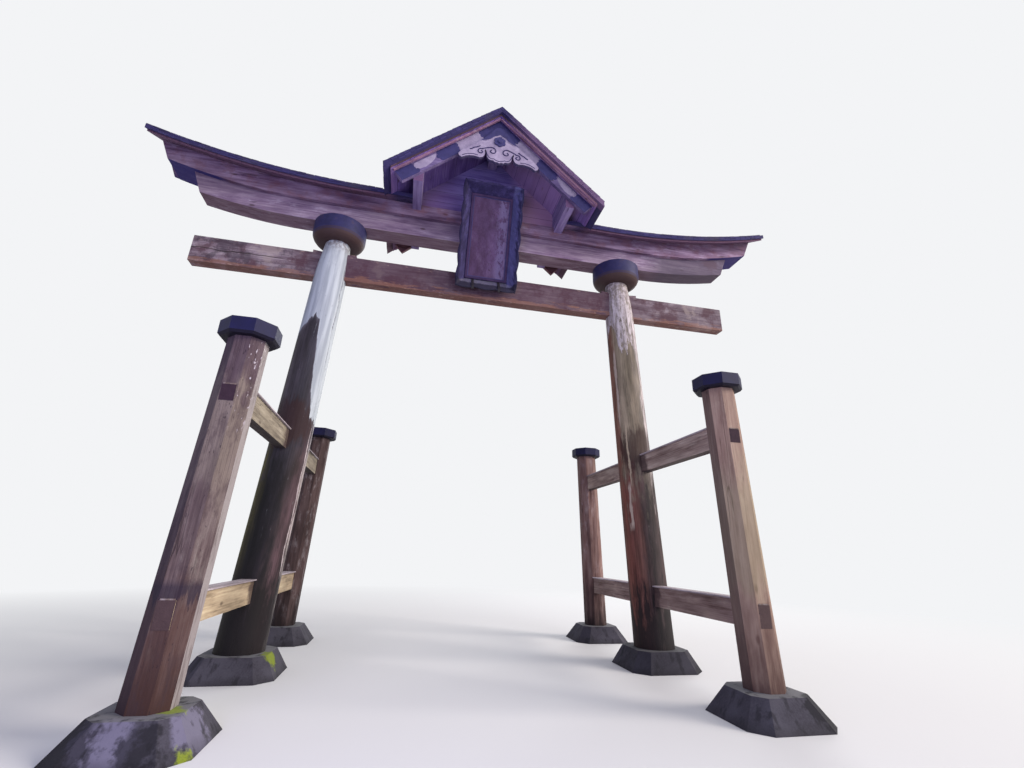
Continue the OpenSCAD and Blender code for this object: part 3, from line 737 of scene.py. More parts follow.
def rail_wear_and_shade(colour):
    """Dark stains where a rail enters its pillar, and painted shade on its underside."""
    place = own_place()
    y = at("Y")
    rag = add("TexNoise", place, 9.0, 5.0, 0.55)
    near = abs(y) + (rag - 0.5) * 0.3
    colour = laid_where(colour, "#3a2a2c", near, 0.34, 0.44, 0.8, 0.0)
    # Painted shade: undersides are darkened
    return laid_over(colour, "#241c26", looks_down() * 0.75)


for name, (tones, cut) in RAILS.items():
    dress([name], weathered_timber("cedar_" + name, GRAIN_ALONG_Y, *tones, paint=rail_wear_and_shade, cut=cut,
                                   bloom=0.3, bloom_colour="#b5aca0"))

# %% [markdown]
# Boards close the roofs and the gable's walls, and their joints show as thin dark lines. A saw-tooth of the
# place, the fraction of a board's width, marks each joint. Sunlight from the right is painted onto one slope
# and the wall's right half, and behind the lintels the boards are browner.

# %% Gable timber
REAR_FROM = 0.45
ROOF_BOARD_W, WALL_BOARD_W = 0.17, 0.21
# A distance that keeps the saw-tooth's place above zero on both sides of the middle
BOARDS_START = 20.0


def sunlit_verge(colour, strength, hex_colour):
    """Painted sunlight: a pinkish-brown tint on the front edge of the gable's right slope, where the low sun
    falls.
    """
    x, y = at("X"), at("Y")
    front = add("MapRange", x, 0.1, 0.5) * add("MapRange", y, -0.93, -0.96)
    return laid_over(colour, hex_colour, front * strength)


def board_seams(colour):
    """Dark joints between boards that run from front to back, which are browner at the rear, with painted
    sunlight on the right slope and its front edge.
    """
    x, y = at("X"), at("Y")
    saw = add("Math", (x + BOARDS_START) * (1 / ROOF_BOARD_W), operation="FRACT")
    seam = add("MapRange", saw, 0.02, 0.05, 1.0, 0.0)
    colour = laid_where(colour, "#5b4044", y, REAR_FROM, REAR_FROM + 0.1, 0.0, 0.75)
    sunlit_slope = add("MapRange", x, 0.1, 0.3) * add("MapRange", x, 1.5, 1.3)
    # Painted sunlight: the right slope is tinted a paler pink
    colour = laid_over(colour, "#b290aa", sunlit_slope * 0.38)
    near_eave = add("MapRange", abs(x), 1.45, 1.65, 0.0, 0.55)
    low_end = near_eave * add("MapRange", y, REAR_FROM, REAR_FROM - 0.1)
    colour = laid_over(colour, "#7c5a6c", low_end)
    colour = laid_over(colour, "#1f1824", seam * 0.6)
    return sunlit_verge(colour, 0.65, "#96707f")


def wall_seams(colour):
    """Dark joints between boards that lie along X, painted violet shade at their foot, painted sunlight on
    the right half, and a redder left side.
    """
    x, z = at("X"), at("Z")
    saw = add("Math", z * (1 / WALL_BOARD_W), operation="FRACT")
    seam = add("MapRange", saw, 0.03, 0.06, 1.0, 0.0)
    colour = laid_where(colour, "#4a3260", z, 7.1, 6.6, 0.0, 0.5)
    # Painted sunlight: the wall's right half is tinted a paler pink
    colour = laid_where(colour, "#a87f8e", x, 0.3, 0.7, 0.0, 0.6)
    colour = laid_where(colour, "#6f4a68", x, -0.4, -0.9, 0.0, 0.4)
    return laid_over(colour, "#2a2036", seam * 0.5)


# Painted shade: the lintel roof's boards, edges and undersides get a dark navy that stands for the shade
# under the roof's edge
dress(["lintel_boards_left", "lintel_boards_right"], weathered_timber(
    "roof_board_painted_shade", GRAIN_ALONG_Y, "#332b50", "#433963", "#574b78", paint=board_seams,
    cut=("#241d38", "#322948"), bloom=0.0))
dress(["gable_boards_left", "gable_boards_right"], weathered_timber(
    "roof_board_cedar", GRAIN_ALONG_Y, "#523f76", "#685291", "#7f69a8", paint=board_seams, bloom=0.1))
dress(["gable_wall_front", "gable_wall_back", "king_posts"], weathered_timber(
    "gable_wall_cedar", GRAIN_ALONG_X, "#65568f", "#796ca4", "#8c7fb6", paint=wall_seams, bloom=0.1))
dress(["purlin_left", "purlin_right", "ridge_beam"], weathered_timber(
    "gable_cedar", GRAIN_ALONG_Y, "#5b4970", "#74648c", "#8c7ca4", cut=("#553d5c", "#6b5072"), bloom=0.2))

# %% [markdown]
# The main pillars once had a smooth pale coat. Rain has taken it off from below, in ragged tongues that
# differ round the pillar, so bare brown-grey wood shows under the coat's lower edge. The edge is drawn as a
# curve of height against the angle round the pillar, with noise that makes it fray. The bare wood is tinted
# round the pillar too, once for its upper part and once for its foot: reddish or green on one side, pale with
# painted sunlight on the right side, towards the sun, and black where water runs.

# %% Coated pillars
PILLAR_LEAN = math.radians(2.9)
PILLAR_FOOT_X = 2.560
COAT_LOW, COAT_HIGH = 2.5, 5.5
# Angle round the pillar in degrees, 0 at the front and positive to the right, and the coat's lower edge
# there
LEFT_COAT = [(-180, 3.4), (-90, 3.9), (-55, 4.14), (-36, 4.25), (-6, 4.45), (12, 4.27), (23, 3.85),
             (34, 3.42), (53, 2.98), (100, 2.9), (180, 3.4)]
RIGHT_COAT = [(-180, 3.6), (-100, 4.6), (-73, 5.0), (-53, 4.82), (-41, 4.5), (-11, 4.5), (25, 4.62),
              (48, 4.45), (75, 3.3), (120, 3.2), (180, 3.6)]
# Angle round the pillar and the tint of its bare wood there. The pale tints on the right side, from 82 to 103
# degrees on the left pillar and at 38 on the right one, are painted sunlight
LEFT_HIGH = [(-180, "#3d3739"), (-88, "#4c4f40"), (-62, "#3e3a3e"), (-30, "#3a353d"), (14, "#2e2c35"),
             (60, "#28222b"), (88, "#3c343c"), (96, "#a09da6"), (125, "#3d3739")]
LEFT_LOW = [(-180, "#2a2423"), (-70, "#56532a"), (-46, "#34301d"), (-26, "#19181c"), (-2, "#19171b"),
            (15, "#1c181e"), (32, "#30272a"), (50, "#4a393e"), (76, "#413035"), (82, "#8f8686"),
            (103, "#7d7474"), (125, "#2a2423")]
RIGHT_HIGH = [(-180, "#4d403e"), (-114, "#5e382d"), (-94, "#6f4438"), (-76, "#6d4c40"), (-60, "#807564"),
              (-30, "#7b7160"), (0, "#72685c"), (26, "#645d58"), (38, "#a7a0a1"), (64, "#50474a")]
RIGHT_LOW = [(-180, "#463736"), (-112, "#4b2e2a"), (-86, "#6e4238"), (-62, "#683f38"), (-34, "#63453d"),
             (-14, "#483a3b"), (2, "#2a2426"), (30, "#3b3031"), (66, "#38292a")]
TINT_CHANGE = (2.1, 2.9)
NECK_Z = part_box("ring_left")[0].z
# Lines where the coat has curled: angle round the pillar, height from and to, colour, and half its width as
# a share of the way round
LEFT_LINES = [(66, (3.7, 5.4), "#4b4850", 0.005), (74, (1.0, 2.9), "#b0a4a6", 0.006)]
RIGHT_LINES = [(-54, (1.7, 2.4), "#a89a8c", 0.017), (-46, (2.3, 3.3), "#a4957f", 0.013),
               (-66, (3.2, 4.5), "#a3958a", 0.012)]
RAIL_STAIN_Z, RAIL_STAIN_R = 2.85, 0.36
COAT_RELIEF = (1.5, 1.5, 1.5, 1)


def round_position(angle):
    """An angle in degrees as a share of the way round, from -180 to 180."""
    return (angle + 180) / 360


def tint_round(share, tints):
    """The wood's tint by its place round the pillar."""
    return ramped(share, [(round_position(a), colour) for a, colour in tints])


def peeled_line(colour, share, z, rag, at_angle, reach, hex_colour, width):
    """A thin line up the pillar, where the coat's edge has curled."""
    off = share - round_position(at_angle) + straying(rag, 0.02)
    line = add("MapRange", abs(off), width * 0.5, width, 1.0, 0.0)
    line = line * add("MapRange", z, reach[0], reach[0] + 0.1)
    line = line * add("MapRange", z, reach[1] - 0.1, reach[1], 1.0, 0.0)
    return laid_over(colour, hex_colour, line * 0.85)


def coat_edge_height(share, coat_edge):
    """How high the coat's lower edge lies, by the place round the pillar."""
    curve = add("FloatCurve", named={"Value": share})
    mapping = curve.socket.node.mapping
    points = mapping.curves[0].points
    while len(points) < len(coat_edge):
        points.new(0.5, 0.5)
    for point, (turn, height) in zip(points, coat_edge):
        point.location = (round_position(turn), (height - COAT_LOW) / (COAT_HIGH - COAT_LOW))
        point.handle_type = "VECTOR"
    mapping.update()
    return add("MapRange", curve, 0.0, 1.0, COAT_LOW, COAT_HIGH)


def coat_look(coords, z, coat_colours, neck_depth):
    """The coat's colour: streaks in two tones, small specks, and a grimy neck."""
    streak = streaks(coords, 0.06, 1.1, 6.0, 0.55)
    coat_tone = between(add("MapRange", streak, 0.38, 0.62), coat_colours[0], coat_colours[1])
    specks = streaks(coords, 0.016, 0.05, 3.0, 0.55)
    coat_tone = laid_where(coat_tone, "#5f5b60", specks, 0.66, 0.72, 0.0, 0.55)
    neck = add("MapRange", z, NECK_Z - neck_depth, NECK_Z - 0.02)
    neck = neck * add("MapRange", add("TexNoise", own_place(), 22.0, 6.0, 0.7), 0.44, 0.54)
    return laid_over(coat_tone, "#5d5050", neck * 0.75)


def coated_pillar(name, side, coat_edge, fray, coat_cover, softness, coat_colours, under_coat, tints,
                  foot_reach, lines, neck_depth):
    """Peeling pale coat over bare timber, which leans with its pillar."""
    material, shader = new_finish(name)
    coords = grain_coords((0, -side * PILLAR_LEAN, 0), (side * PILLAR_FOOT_X, 0, 0))
    wood, wood_height = timber_pattern(coords, "#8a8886", "#c4c2c1", "#f4f2f1", bloom=0.25,
                                       bloom_colour="#ffffff")
    x, y, z = (at(axis, coords) for axis in "XYZ")
    angle = add("Math", x, y * -1.0, operation="ARCTAN2")
    share = add("MapRange", angle, -math.pi, math.pi)
    rag = streaks(coords, 0.08, 0.4, 7.0, 0.64)
    wander = straying(rag, 0.045)
    strayed = share + wander
    ragged_z = z + straying(rag, 0.8)
    high = add("MapRange", ragged_z, *TINT_CHANGE)
    tint = add("Mix", high, tint_round(strayed, tints[1]), tint_round(strayed, tints[0]), data_type="RGBA")
    above = z - coat_edge_height(share, coat_edge) + straying(rag, fray)
    tint = laid_where(tint, under_coat, above, -0.1, 0.25)
    wood = add("Mix", 1.0, tint, wood, data_type="RGBA", blend_type="MULTIPLY")
    wood = add("VectorMath", wood, 1.7, operation="SCALE")
    foot = add("MapRange", ragged_z, *foot_reach, 0.92, 0.0)
    wood = laid_over(wood, "#151114", foot)
    rot = ragged_spot((side * 2.43, -0.24, RAIL_STAIN_Z), RAIL_STAIN_R, rag)
    wood = laid_over(wood, "#2a1517", rot * 0.7)
    coat = add("MapRange", above, -0.008, 0.012)
    flakes = streaks(coords, 0.035, 0.17, 8.0, 0.72)
    coat = coat * add("MapRange", flakes, coat_cover, coat_cover + softness)
    slivers = streaks(coords, 0.03, 0.4, 5.0, 0.65)
    slivers = add("MapRange", slivers, 0.66, 0.7) * add("MapRange", z, 1.2, 1.9)
    coat = add("Math", coat, slivers * 0.45, operation="MAXIMUM")
    colour = add("Mix", coat, wood, coat_look(coords, z, coat_colours, neck_depth), data_type="RGBA")
    for line in lines:
        colour = peeled_line(colour, share, z, rag, *line)
    height = add("Mix", coat, wood_height, COAT_RELIEF, data_type="RGBA")
    surface(shader, colour, height, 5 * MM, 0.6, 0.7)
    return material


dress(["pillar_left"], coated_pillar(
    "peeling_coat_left", -1, LEFT_COAT, fray=0.09, coat_cover=0.30, softness=0.05,
    coat_colours=("#898f97", "#a6acb3"), under_coat="#7d7a86", tints=(LEFT_HIGH, LEFT_LOW),
    foot_reach=(0.75, 1.35), lines=LEFT_LINES, neck_depth=0.22))
dress(["pillar_right"], coated_pillar(
    "peeling_coat_right", 1, RIGHT_COAT, fray=0.28, coat_cover=0.38, softness=0.14,
    coat_colours=("#8f868a", "#bdb4b9"), under_coat="#6f675c", tints=(RIGHT_HIGH, RIGHT_LOW),
    foot_reach=(0.5, 1.05), lines=RIGHT_LINES, neck_depth=0.75))

# %% [markdown]
# Caps and rings wear a matt blue-black paint. On the rings it is oldest where rain drips, so it thins to
# brown wood along the lower edges and on the undersides. The caps' undersides are darkened to near-black
# instead, as painted shade. Noise along the edge keeps that line from looking ruled.

# %% Dark paint
def worn_paint(name, paint, bare, bare_below=1.0, wear=0.35, rough=0.6):
    """Matt paint that has gone from the undersides and thinned along the edges."""
    material, shader = new_finish(name)
    place = own_place()
    below = add("MapRange", facing("Z"), -0.15, -0.6, 0.0, bare_below)
    blotch = add("TexNoise", place, 9.0, 6.0, 0.62)
    worn = add("MapRange", blotch, 0.62 - wear * 0.2, 0.72)
    amount = add("Math", worn * 0.5, below, operation="MAXIMUM", use_clamp=True)
    tone = add("MapRange", blotch, 0.3, 0.7, 0.75, 1.25)
    coat = add("VectorMath", linear(paint)[:3], tone, operation="SCALE")
    colour = laid_over(coat, bare, amount)
    surface(shader, colour, blotch, 3 * MM, 0.25, rough)
    return material


navy_finish = worn_paint("navy_gable_paint", "#34315c", "#34315c")
# Painted shade: the caps' undersides are darkened to near-black
dress(["post_caps"], worn_paint("blue_black_paint_painted_shade_below", "#0b0a30", "#100b16", 0.8, wear=0.0))
dress(["ring_left", "ring_right"], worn_paint("worn_ring_paint", "#26244a", "#423027", 0.85, wear=0.2))
dress(["lintel_ridge_caps", "gable_ridge_cap"], worn_paint("dull_sheet_copper", "#454c4b", "#454c4b"))
dress(["plaque_brackets"], worn_paint("dark_iron_strap", "#1c1820", "#2a1f1b", 0.3))

# %% [markdown]
# The roofs are laid with split shingles, a few millimetres thick at the butt and thinner at the head. They
# lie in courses that overlap, and each course breaks the joints of the one below. The CAD's roof layers
# stand for their whole build-up, so only the top course of each row is modelled here. One shingle is made,
# and a ray cast down onto the CAD roof finds where each copy lies and how it tilts, which also follows the
# curve of the lintel's roof and stops at the valleys.

# %% Shingle courses
SHINGLE_W, SHINGLE_L, SHINGLE_BUTT, SHINGLE_HEAD = 110 * MM, 160 * MM, 11 * MM, 2 * MM
GABLE_EXPOSURE = 95 * MM
LINTEL_EXPOSURE = 76 * MM
EAVE_OVERHANG = 9 * MM
GABLE_PITCH, LINTEL_PITCH = math.radians(42.1), math.radians(28)
COS_PITCH, SIN_PITCH = math.cos(GABLE_PITCH), math.sin(GABLE_PITCH)
SKY_HIGH = 20.0
# How far a ray stays inside an eave, and how far a shingle then moves down the slope
RAY_INSET, SEAT_DOWN = 12 * MM, 16 * MM
SHINGLE_NODES = [kind + "_shingles_" + side for kind in ("gable", "lintel") for side in ("left", "right")]
random.seed(11)

roof_corners = []
roof_faces = []
roof_owners = []
for name in SHINGLE_NODES + ["lintel_ridge_caps"]:
    first = len(roof_corners)
    roof_corners += [v.co.copy() for v in nodes[name].data.vertices]
    for polygon in nodes[name].data.polygons:
        roof_faces.append([first + i for i in polygon.vertices])
        roof_owners.append(name)
roof_tree = BVHTree.FromPolygons(roof_corners, roof_faces)


def roof_under(x, y):
    """The CAD roof's top at a place: which node it is, the point and the way it faces."""
    point, normal, face, _ = roof_tree.ray_cast(Vector((x, y, SKY_HIGH)), Vector((0, 0, -1)))
    return ("", None, None) if point is None else (roof_owners[face], point, normal)


def slope_frame(point, normal, up_slope):
    """A place on a roof: X along the eave, Y up the slope and Z out of the roof."""
    z_axis = normal.normalized()
    y_axis = (up_slope - z_axis * up_slope.dot(z_axis)).normalized()
    x_axis = y_axis.cross(z_axis)
    return Matrix.Translation(point) @ Matrix((x_axis, y_axis, z_axis)).transposed().to_4x4()


def one_shingle():
    """A split shingle that lies along Y with its butt at the origin."""
    piece = block((SHINGLE_W - 3 * MM, SHINGLE_L, SHINGLE_BUTT), 1.5 * MM)
    for corner in piece.data.vertices:
        along = corner.co.y / SHINGLE_L + 0.5
        thick = SHINGLE_BUTT + (SHINGLE_HEAD - SHINGLE_BUTT) * along
        corner.co.z = (corner.co.z / SHINGLE_BUTT + 0.5) * thick - 1 * MM
        corner.co.y += SHINGLE_L / 2
    return piece


def jittered(place):
    """A shingle's place with a little of the looseness of hand work."""
    slip = Matrix.Translation((0, random.uniform(-9, 5) * MM, random.uniform(0, 3) * MM))
    twist = Matrix.Rotation(math.radians(random.uniform(-0.8, 0.8)), 4, "Z")
    return place @ slip @ twist @ Matrix.Diagonal((random.uniform(0.93, 1.0), 1, 1, 1))


def slope_ways(side):
    """The directions down a slope of the gable and square out of it."""
    return Vector((side * COS_PITCH, 0, -SIN_PITCH)), Vector((side * SIN_PITCH, 0, COS_PITCH))


gable_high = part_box("gable_shingles_right")[1]
verge_y, gable_half, peak_z = gable_high.y, gable_high.x, gable_high.z
slope_length = gable_half / COS_PITCH
gable_places = []
for side in (-1, 1):
    course = 0
    while course * GABLE_EXPOSURE - EAVE_OVERHANG + SHINGLE_L < slope_length:
        up = course * GABLE_EXPOSURE - EAVE_OVERHANG
        count = int(2 * verge_y / SHINGLE_W) + course % 2
        inset = SHINGLE_W / 2 if course % 2 == 0 else 20 * MM
        farthest = verge_y - SHINGLE_W / 2 + 3 * MM
        for number in range(count):
            y = -verge_y + inset + number * (2 * verge_y - 2 * inset) / max(1, count - 1)
            y = max(-farthest, min(farthest, y))
            owner, _, normal = roof_under(side * (gable_half - (up + 30 * MM) * COS_PITCH), y)
            if owner.startswith("gable"):
                out = gable_half - up * COS_PITCH
                butt = Vector((side * out, y, peak_z - out * math.tan(GABLE_PITCH)))
                gable_places.append(jittered(slope_frame(butt, normal, Vector((-side, 0, 0)))))
        course += 1

lintel_low, lintel_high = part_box("lintel_shingles_right")
eave_y, roof_end = lintel_high.y, lintel_high.x
lintel_places = []
for face in (-1, 1):
    for course in range(int(eave_y / math.cos(LINTEL_PITCH) / LINTEL_EXPOSURE)):
        up = course * LINTEL_EXPOSURE - EAVE_OVERHANG
        y = eave_y - up * math.cos(LINTEL_PITCH)
        for number in range(int(2 * roof_end / SHINGLE_W) + course % 2):
            x = -roof_end + 2 * MM + SHINGLE_W * (number + (0.5 if course % 2 == 0 else 0.0))
            x = max(-roof_end + SHINGLE_W / 2, min(roof_end - SHINGLE_W / 2, x))
            owner, point, normal = roof_under(x, face * min(y - RAY_INSET, eave_y - RAY_INSET))
            if owner.startswith("lintel_shingles"):
                place = slope_frame(point, normal, Vector((0, -face, 0)))
                lintel_places.append(jittered(place @ Matrix.Translation((0, -SEAT_DOWN, 0))))

# %% [markdown]
# At the eaves and the verges the layers of shingles show as a thick dark edge. It is built up here from
# short slips in rows, each standing out by its own few millimetres, so the edge has a broken shadow and
# isn't smooth.

# %% Roof edges
SLIP_L, SLIP_H, SLIP_OUT = 105 * MM, 15 * MM, 22 * MM
LINTEL_ROWS, GABLE_ROWS = 4, 5
VALLEY_GAP = 0.42
edge_places = []


def edge_row(point_at, out, down, length):
    """Slips along a line. point_at gives the line's points, and out and down are its directions."""
    for number in range(int(length / SLIP_L)):
        start, end = point_at(number * SLIP_L), point_at((number + 1) * SLIP_L)
        along = (end - start).normalized()
        middle = (start + end) / 2 + out * (random.uniform(1, 7) * MM - SLIP_OUT / 2) + down
        turn = Matrix((along, out, along.cross(out))).transposed().to_4x4()
        edge_places.append(Matrix.Translation(middle) @ turn)


def lintel_eave_point(side, face, distance):
    """The top edge of the lintel roof's eave, at a distance from the gable."""
    x = side * min(lintel_low.x + VALLEY_GAP + distance, roof_end - 1 * MM)
    return Vector((x, face * eave_y, roof_under(x, face * (eave_y - 1 * MM))[1].z))


for side in (-1, 1):
    for face in (-1, 1):
        for row in range(LINTEL_ROWS):
            sunk = Vector((0, 0, -(row + 0.5) * SLIP_H - 3 * MM))
            edge_row(lambda d, s=side, f=face: lintel_eave_point(s, f, d), Vector((0, face, 0)), sunk,
                     roof_end - lintel_low.x - VALLEY_GAP - 10 * MM)
    slope_down, slope_out = slope_ways(side)
    for row in range(GABLE_ROWS):
        sunk = -slope_out * ((row + 0.5) * SLIP_H + 1 * MM)
        for face in (-1, 1):
            top = Vector((0, face * verge_y, peak_z))
            edge_row(lambda d, t=top, v=slope_down: t + v * (d + 0.02), Vector((0, face, 0)), sunk,
                     slope_length - 0.03)
        for face in (-1, 1):
            start = Vector((side * gable_half, face * verge_y, peak_z - gable_half * math.tan(GABLE_PITCH)))
            edge_row(lambda d, t=start, f=face: t - Vector((0, f * (d + 0.005), 0)), Vector((side, 0, 0)),
                     Vector((0, 0, -(row + 0.5) * 1.3 * SLIP_H)), verge_y - eave_y - 0.02)


def shingle_wood(name, dark, light, turn, brown_rear):
    """Thin split wood gone blue-grey, each shingle with its own tone. Edges can be brown at the rear, with
    painted sunlight on the front of the right verge.
    """
    material, shader = new_finish(name)
    coords = grain_coords(turn)
    fibres = streaks(coords, 7 * MM, 0.25, 4.0, 0.55)
    own = add("NewGeometry", out="Random Per Island")
    colour = between(fibres, dark, light)
    colour = add("VectorMath", colour, add("MapRange", own, 0.0, 1.0, 0.68, 1.22), operation="SCALE")
    patches = add("MapRange", add("TexNoise", own_place(), 1.7, 4.0, 0.55), 0.5, 0.68)
    colour = laid_over(colour, "#4c4742", patches * 0.4)
    if brown_rear:
        rear = add("MapRange", at("Y"), REAR_FROM, REAR_FROM + 0.1, 0.0, 0.75)
        # Painted sunlight on the front of the right verge
        colour = sunlit_verge(laid_over(colour, "#5b4044", rear), 0.5, "#7f6280")
    surface(shader, colour, fibres, 2 * MM, 0.5, 0.85)
    return material


roof_finish = shingle_wood("weathered_shingles", "#3b374c", "#67617c", GRAIN_ALONG_Y, False)
edge_finish = shingle_wood("shingle_edges", "#242044", "#3f3968", GRAIN_ALONG_X, True)
dress(SHINGLE_NODES, edge_finish)
repeated(one_shingle(), gable_places, "gable_shingle_courses", roof_finish)
repeated(one_shingle(), lintel_places, "lintel_shingle_courses", roof_finish)
slip = block((SLIP_L - 2 * MM, SLIP_OUT, SLIP_H - 2 * MM), 1.5 * MM)
repeated(slip, edge_places, "roof_edge_slips", edge_finish)
print(len(gable_places), "gable shingles,", len(lintel_places), "lintel shingles,", len(edge_places), "slips")

# %% [markdown]
# Barge boards close the gable's ends. Here they carry faded paint: a blue-black fitting with lobed ends at
# the peak, halfway and at the foot, and cream between them. Each is drawn on the board in its own
# directions, down along the slope and square up from its lower edge, and laid on as a thin plate.

# %% Barge boards
BARGE_H = 186 * MM
PAINT_PLATE, FITTING_PLATE = 4 * MM, 7 * MM
barge_low, barge_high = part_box("barge_front_right")
barge_face = barge_low.y
angle_z = barge_high.z - BARGE_H / COS_PITCH


def on_barge(points):
    """Points given in mm down the slope and up from the lower edge, as drawing X and Z in metres."""
    return [((s * COS_PITCH + t * SIN_PITCH) * MM, angle_z + (t * COS_PITCH - s * SIN_PITCH) * MM)
            for s, t in points]


def on_face(piece, face_y):
    """Stands a drawn piece up against a face that looks to the front."""
    return placed(piece, Matrix.Translation((0, face_y, 0)) @ UPRIGHT)


def plate(outlines, thickness, face_y):
    """A thin flat piece that sinks a little into the front gable's face."""
    return on_face(flat_piece(outlines, thickness, 1 * MM), face_y + 1 * MM)


def faded_paint(name, dark, light, bare):
    """Chalky paint, worn to grey wood in places."""
    material, shader = new_finish(name)
    place = own_place()
    cloud = add("TexNoise", place, 6.0, 6.0, 0.65)
    fine = streaks(grain_coords(GRAIN_ALONG_X), 12 * MM, 0.3, 4.0, 0.55)
    colour = between(add("MapRange", cloud, 0.35, 0.65), dark, light)
    colour = laid_over(colour, bare, add("MapRange", fine, 0.58, 0.72) * 0.55)
    surface(shader, colour, fine, 2 * MM, 0.4, 0.8)
    return material


cream_finish = faded_paint("faded_cream_paint", "#7b7089", "#968ba3", "#665a78")
dress(["barge_front_left", "barge_front_right"], weathered_timber(
    "barge_cedar", GRAIN_ALONG_X, "#4d4066", "#63557c", "#7b6c92", bloom=0.1))
dress(["barge_back_left", "barge_back_right"], weathered_timber(
    "rear_barge_cedar", GRAIN_ALONG_X, "#54363b", "#6d4a4f", "#86626a", bloom=0.2))

cream_field = on_barge([(120, 3), (780, 3), (745, 93), (780, 183), (120, 183)])
lens = on_barge([(1140, 160), (1160, 124), (1200, 92), (1289, 58), (1404, 36), (1501, 48), (1552, 72),
                 (1572, 104), (1556, 140), (1530, 168), (1330, 166)])
middle_fitting = on_barge(
    arc((775, 143), 40, 90, 215) + arc((790, 92), 34, 130, 230) + arc((815, 43), 40, 145, 270)
    + arc((1095, 43), 40, -90, 40) + arc((1130, 95), 34, -55, 60) + arc((1085, 143), 40, -30, 90))
foot_fitting = on_barge(
    [(1855, 3), (1855, 183)] + arc((1600, 143), 40, 90, 215) + arc((1590, 92), 30, 130, 230)
    + arc((1560, 40), 37, 120, 270))
half_peak = on_barge(
    [(-165, 182), (262, 182)] + arc((262, 141), 41, 90, -35) + arc((285, 92), 30, 55, -55)
    + arc((255, 44), 41, 40, -90) + [(0, 3)])
half_peak[0] = (0.0, barge_high.z - 5 * MM)
half_peak[-1] = (0.0, angle_z + 4 * MM)
peak_fitting = half_peak[:-1] + mirrored(half_peak)[:0:-1]
cream_outlines = [cream_field, mirrored(cream_field), lens, mirrored(lens)]
both_ends(plate(cream_outlines, PAINT_PLATE, barge_face), "barge_cream", cream_finish)
fitting_outlines = [middle_fitting, mirrored(middle_fitting), peak_fitting]
both_ends(plate(fitting_outlines, FITTING_PLATE, barge_face), "barge_fittings", navy_finish)
foot_plate = plate([foot_fitting, mirrored(foot_fitting)], FITTING_PLATE, barge_face)
finished(foot_plate, "barge_foot_fittings_front", navy_finish)

batten_places = []
BATTEN_L, BATTEN_W, BATTEN_H = 2.03, 34 * MM, 26 * MM
# The batten's start below the peak, its place in from the verge, and its depth under the roof's top
BATTEN_DOWN, BATTEN_IN, BATTEN_UNDER = 0.125, 0.085, 0.112
for side in (-1, 1):
    slope_down, slope_out = slope_ways(side)
    turn = Matrix((slope_down, slope_out.cross(slope_down), slope_out)).transposed().to_4x4()
    for face in (-1, 1):
        middle = Vector((0, face * (verge_y - BATTEN_IN), peak_z)) + slope_down * (BATTEN_L / 2 + BATTEN_DOWN)
        middle -= slope_out * (BATTEN_UNDER + BATTEN_H / 2)
        batten_places.append(Matrix.Translation(middle) @ turn)
batten_finish = weathered_timber("verge_batten_cedar", GRAIN_ALONG_X, "#5e4459", "#785770", "#906d85")
repeated(block((BATTEN_L, BATTEN_W, BATTEN_H), 3 * MM), batten_places, "verge_battens", batten_finish)

# %% [markdown]
# The carved pendant hides the joint of the barge boards. Its cream field has scrolls with dark grooves, a
# blue-black top, and a boss shaped as a six-petalled flower with a pin. The grooves are dark ribs here,
# half sunk in the face, because from below a groove and its rib read alike, and the CAD node keeps its
# shape.

# %% Pendants
pendant_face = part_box("pendant_front")[0].y
GROOVE, FINE_GROOVE = 9.5 * MM, 6 * MM
WING_CURL, MIDDLE_CURL = (0.286, 7.106), (0.112, 7.150)
TOP_SLOPE = 0.61
TOP_LINE_Z = 7.497


def pendant_paint_and_edge_shade():
    """Cream paint below the scalloped line and blue-black above it, with painted shade, a dark blue-violet,
    on the pendant's edges.
    """
    material, shader = new_finish("pendant_paint_and_edge_shade")
    place = own_place()
    x, z = at("X"), at("Z")
    cloud = add("TexNoise", place, 8.0, 6.0, 0.65)
    colour = between(add("MapRange", cloud, 0.35, 0.65), "#7c718b", "#9b90a8")
    # Painted shade: faces that don't look to the front or back are darkened
    edge = add("MapRange", abs(facing("Y")), 0.75, 0.55)
    colour = laid_over(colour, "#332d50", edge * 0.85)
    level = z + abs(x) * TOP_SLOPE
    top = add("MapRange", level, TOP_LINE_Z, TOP_LINE_Z + 3 * MM)
    colour = laid_over(colour, "#3c3964", top)
    surface(shader, colour, cloud, 2 * MM, 0.4, 0.8)
    return material


dress(["pendant_front", "pendant_back"], pendant_paint_and_edge_shade())
top_half = [(0.0, 7.642), (0.056, 7.621), (0.106, 7.563), (0.173, 7.460), (0.247, 7.371), (0.250, 7.338),
            (0.215, 7.349), (0.170, 7.374), (0.130, 7.400), (0.112, 7.428), (0.080, 7.457), (0.040, 7.472),
            (0.020, 7.490), (0.0, 7.498)]
pendant_top = top_half[:-1] + mirrored(top_half)[:0:-1]
both_ends(plate([pendant_top], PAINT_PLATE, pendant_face), "pendant_top", navy_finish)

border = [(0.262, 7.330), (0.215, 7.341), (0.168, 7.365), (0.126, 7.391), (0.106, 7.420), (0.076, 7.448),
          (0.037, 7.462), (0.018, 7.480), (0.0, 7.489)]
border_rib = on_face(rib([border + mirrored(border)[-2::-1]], 7 * MM), pendant_face)
both_ends(border_rib, "pendant_border", cream_finish)

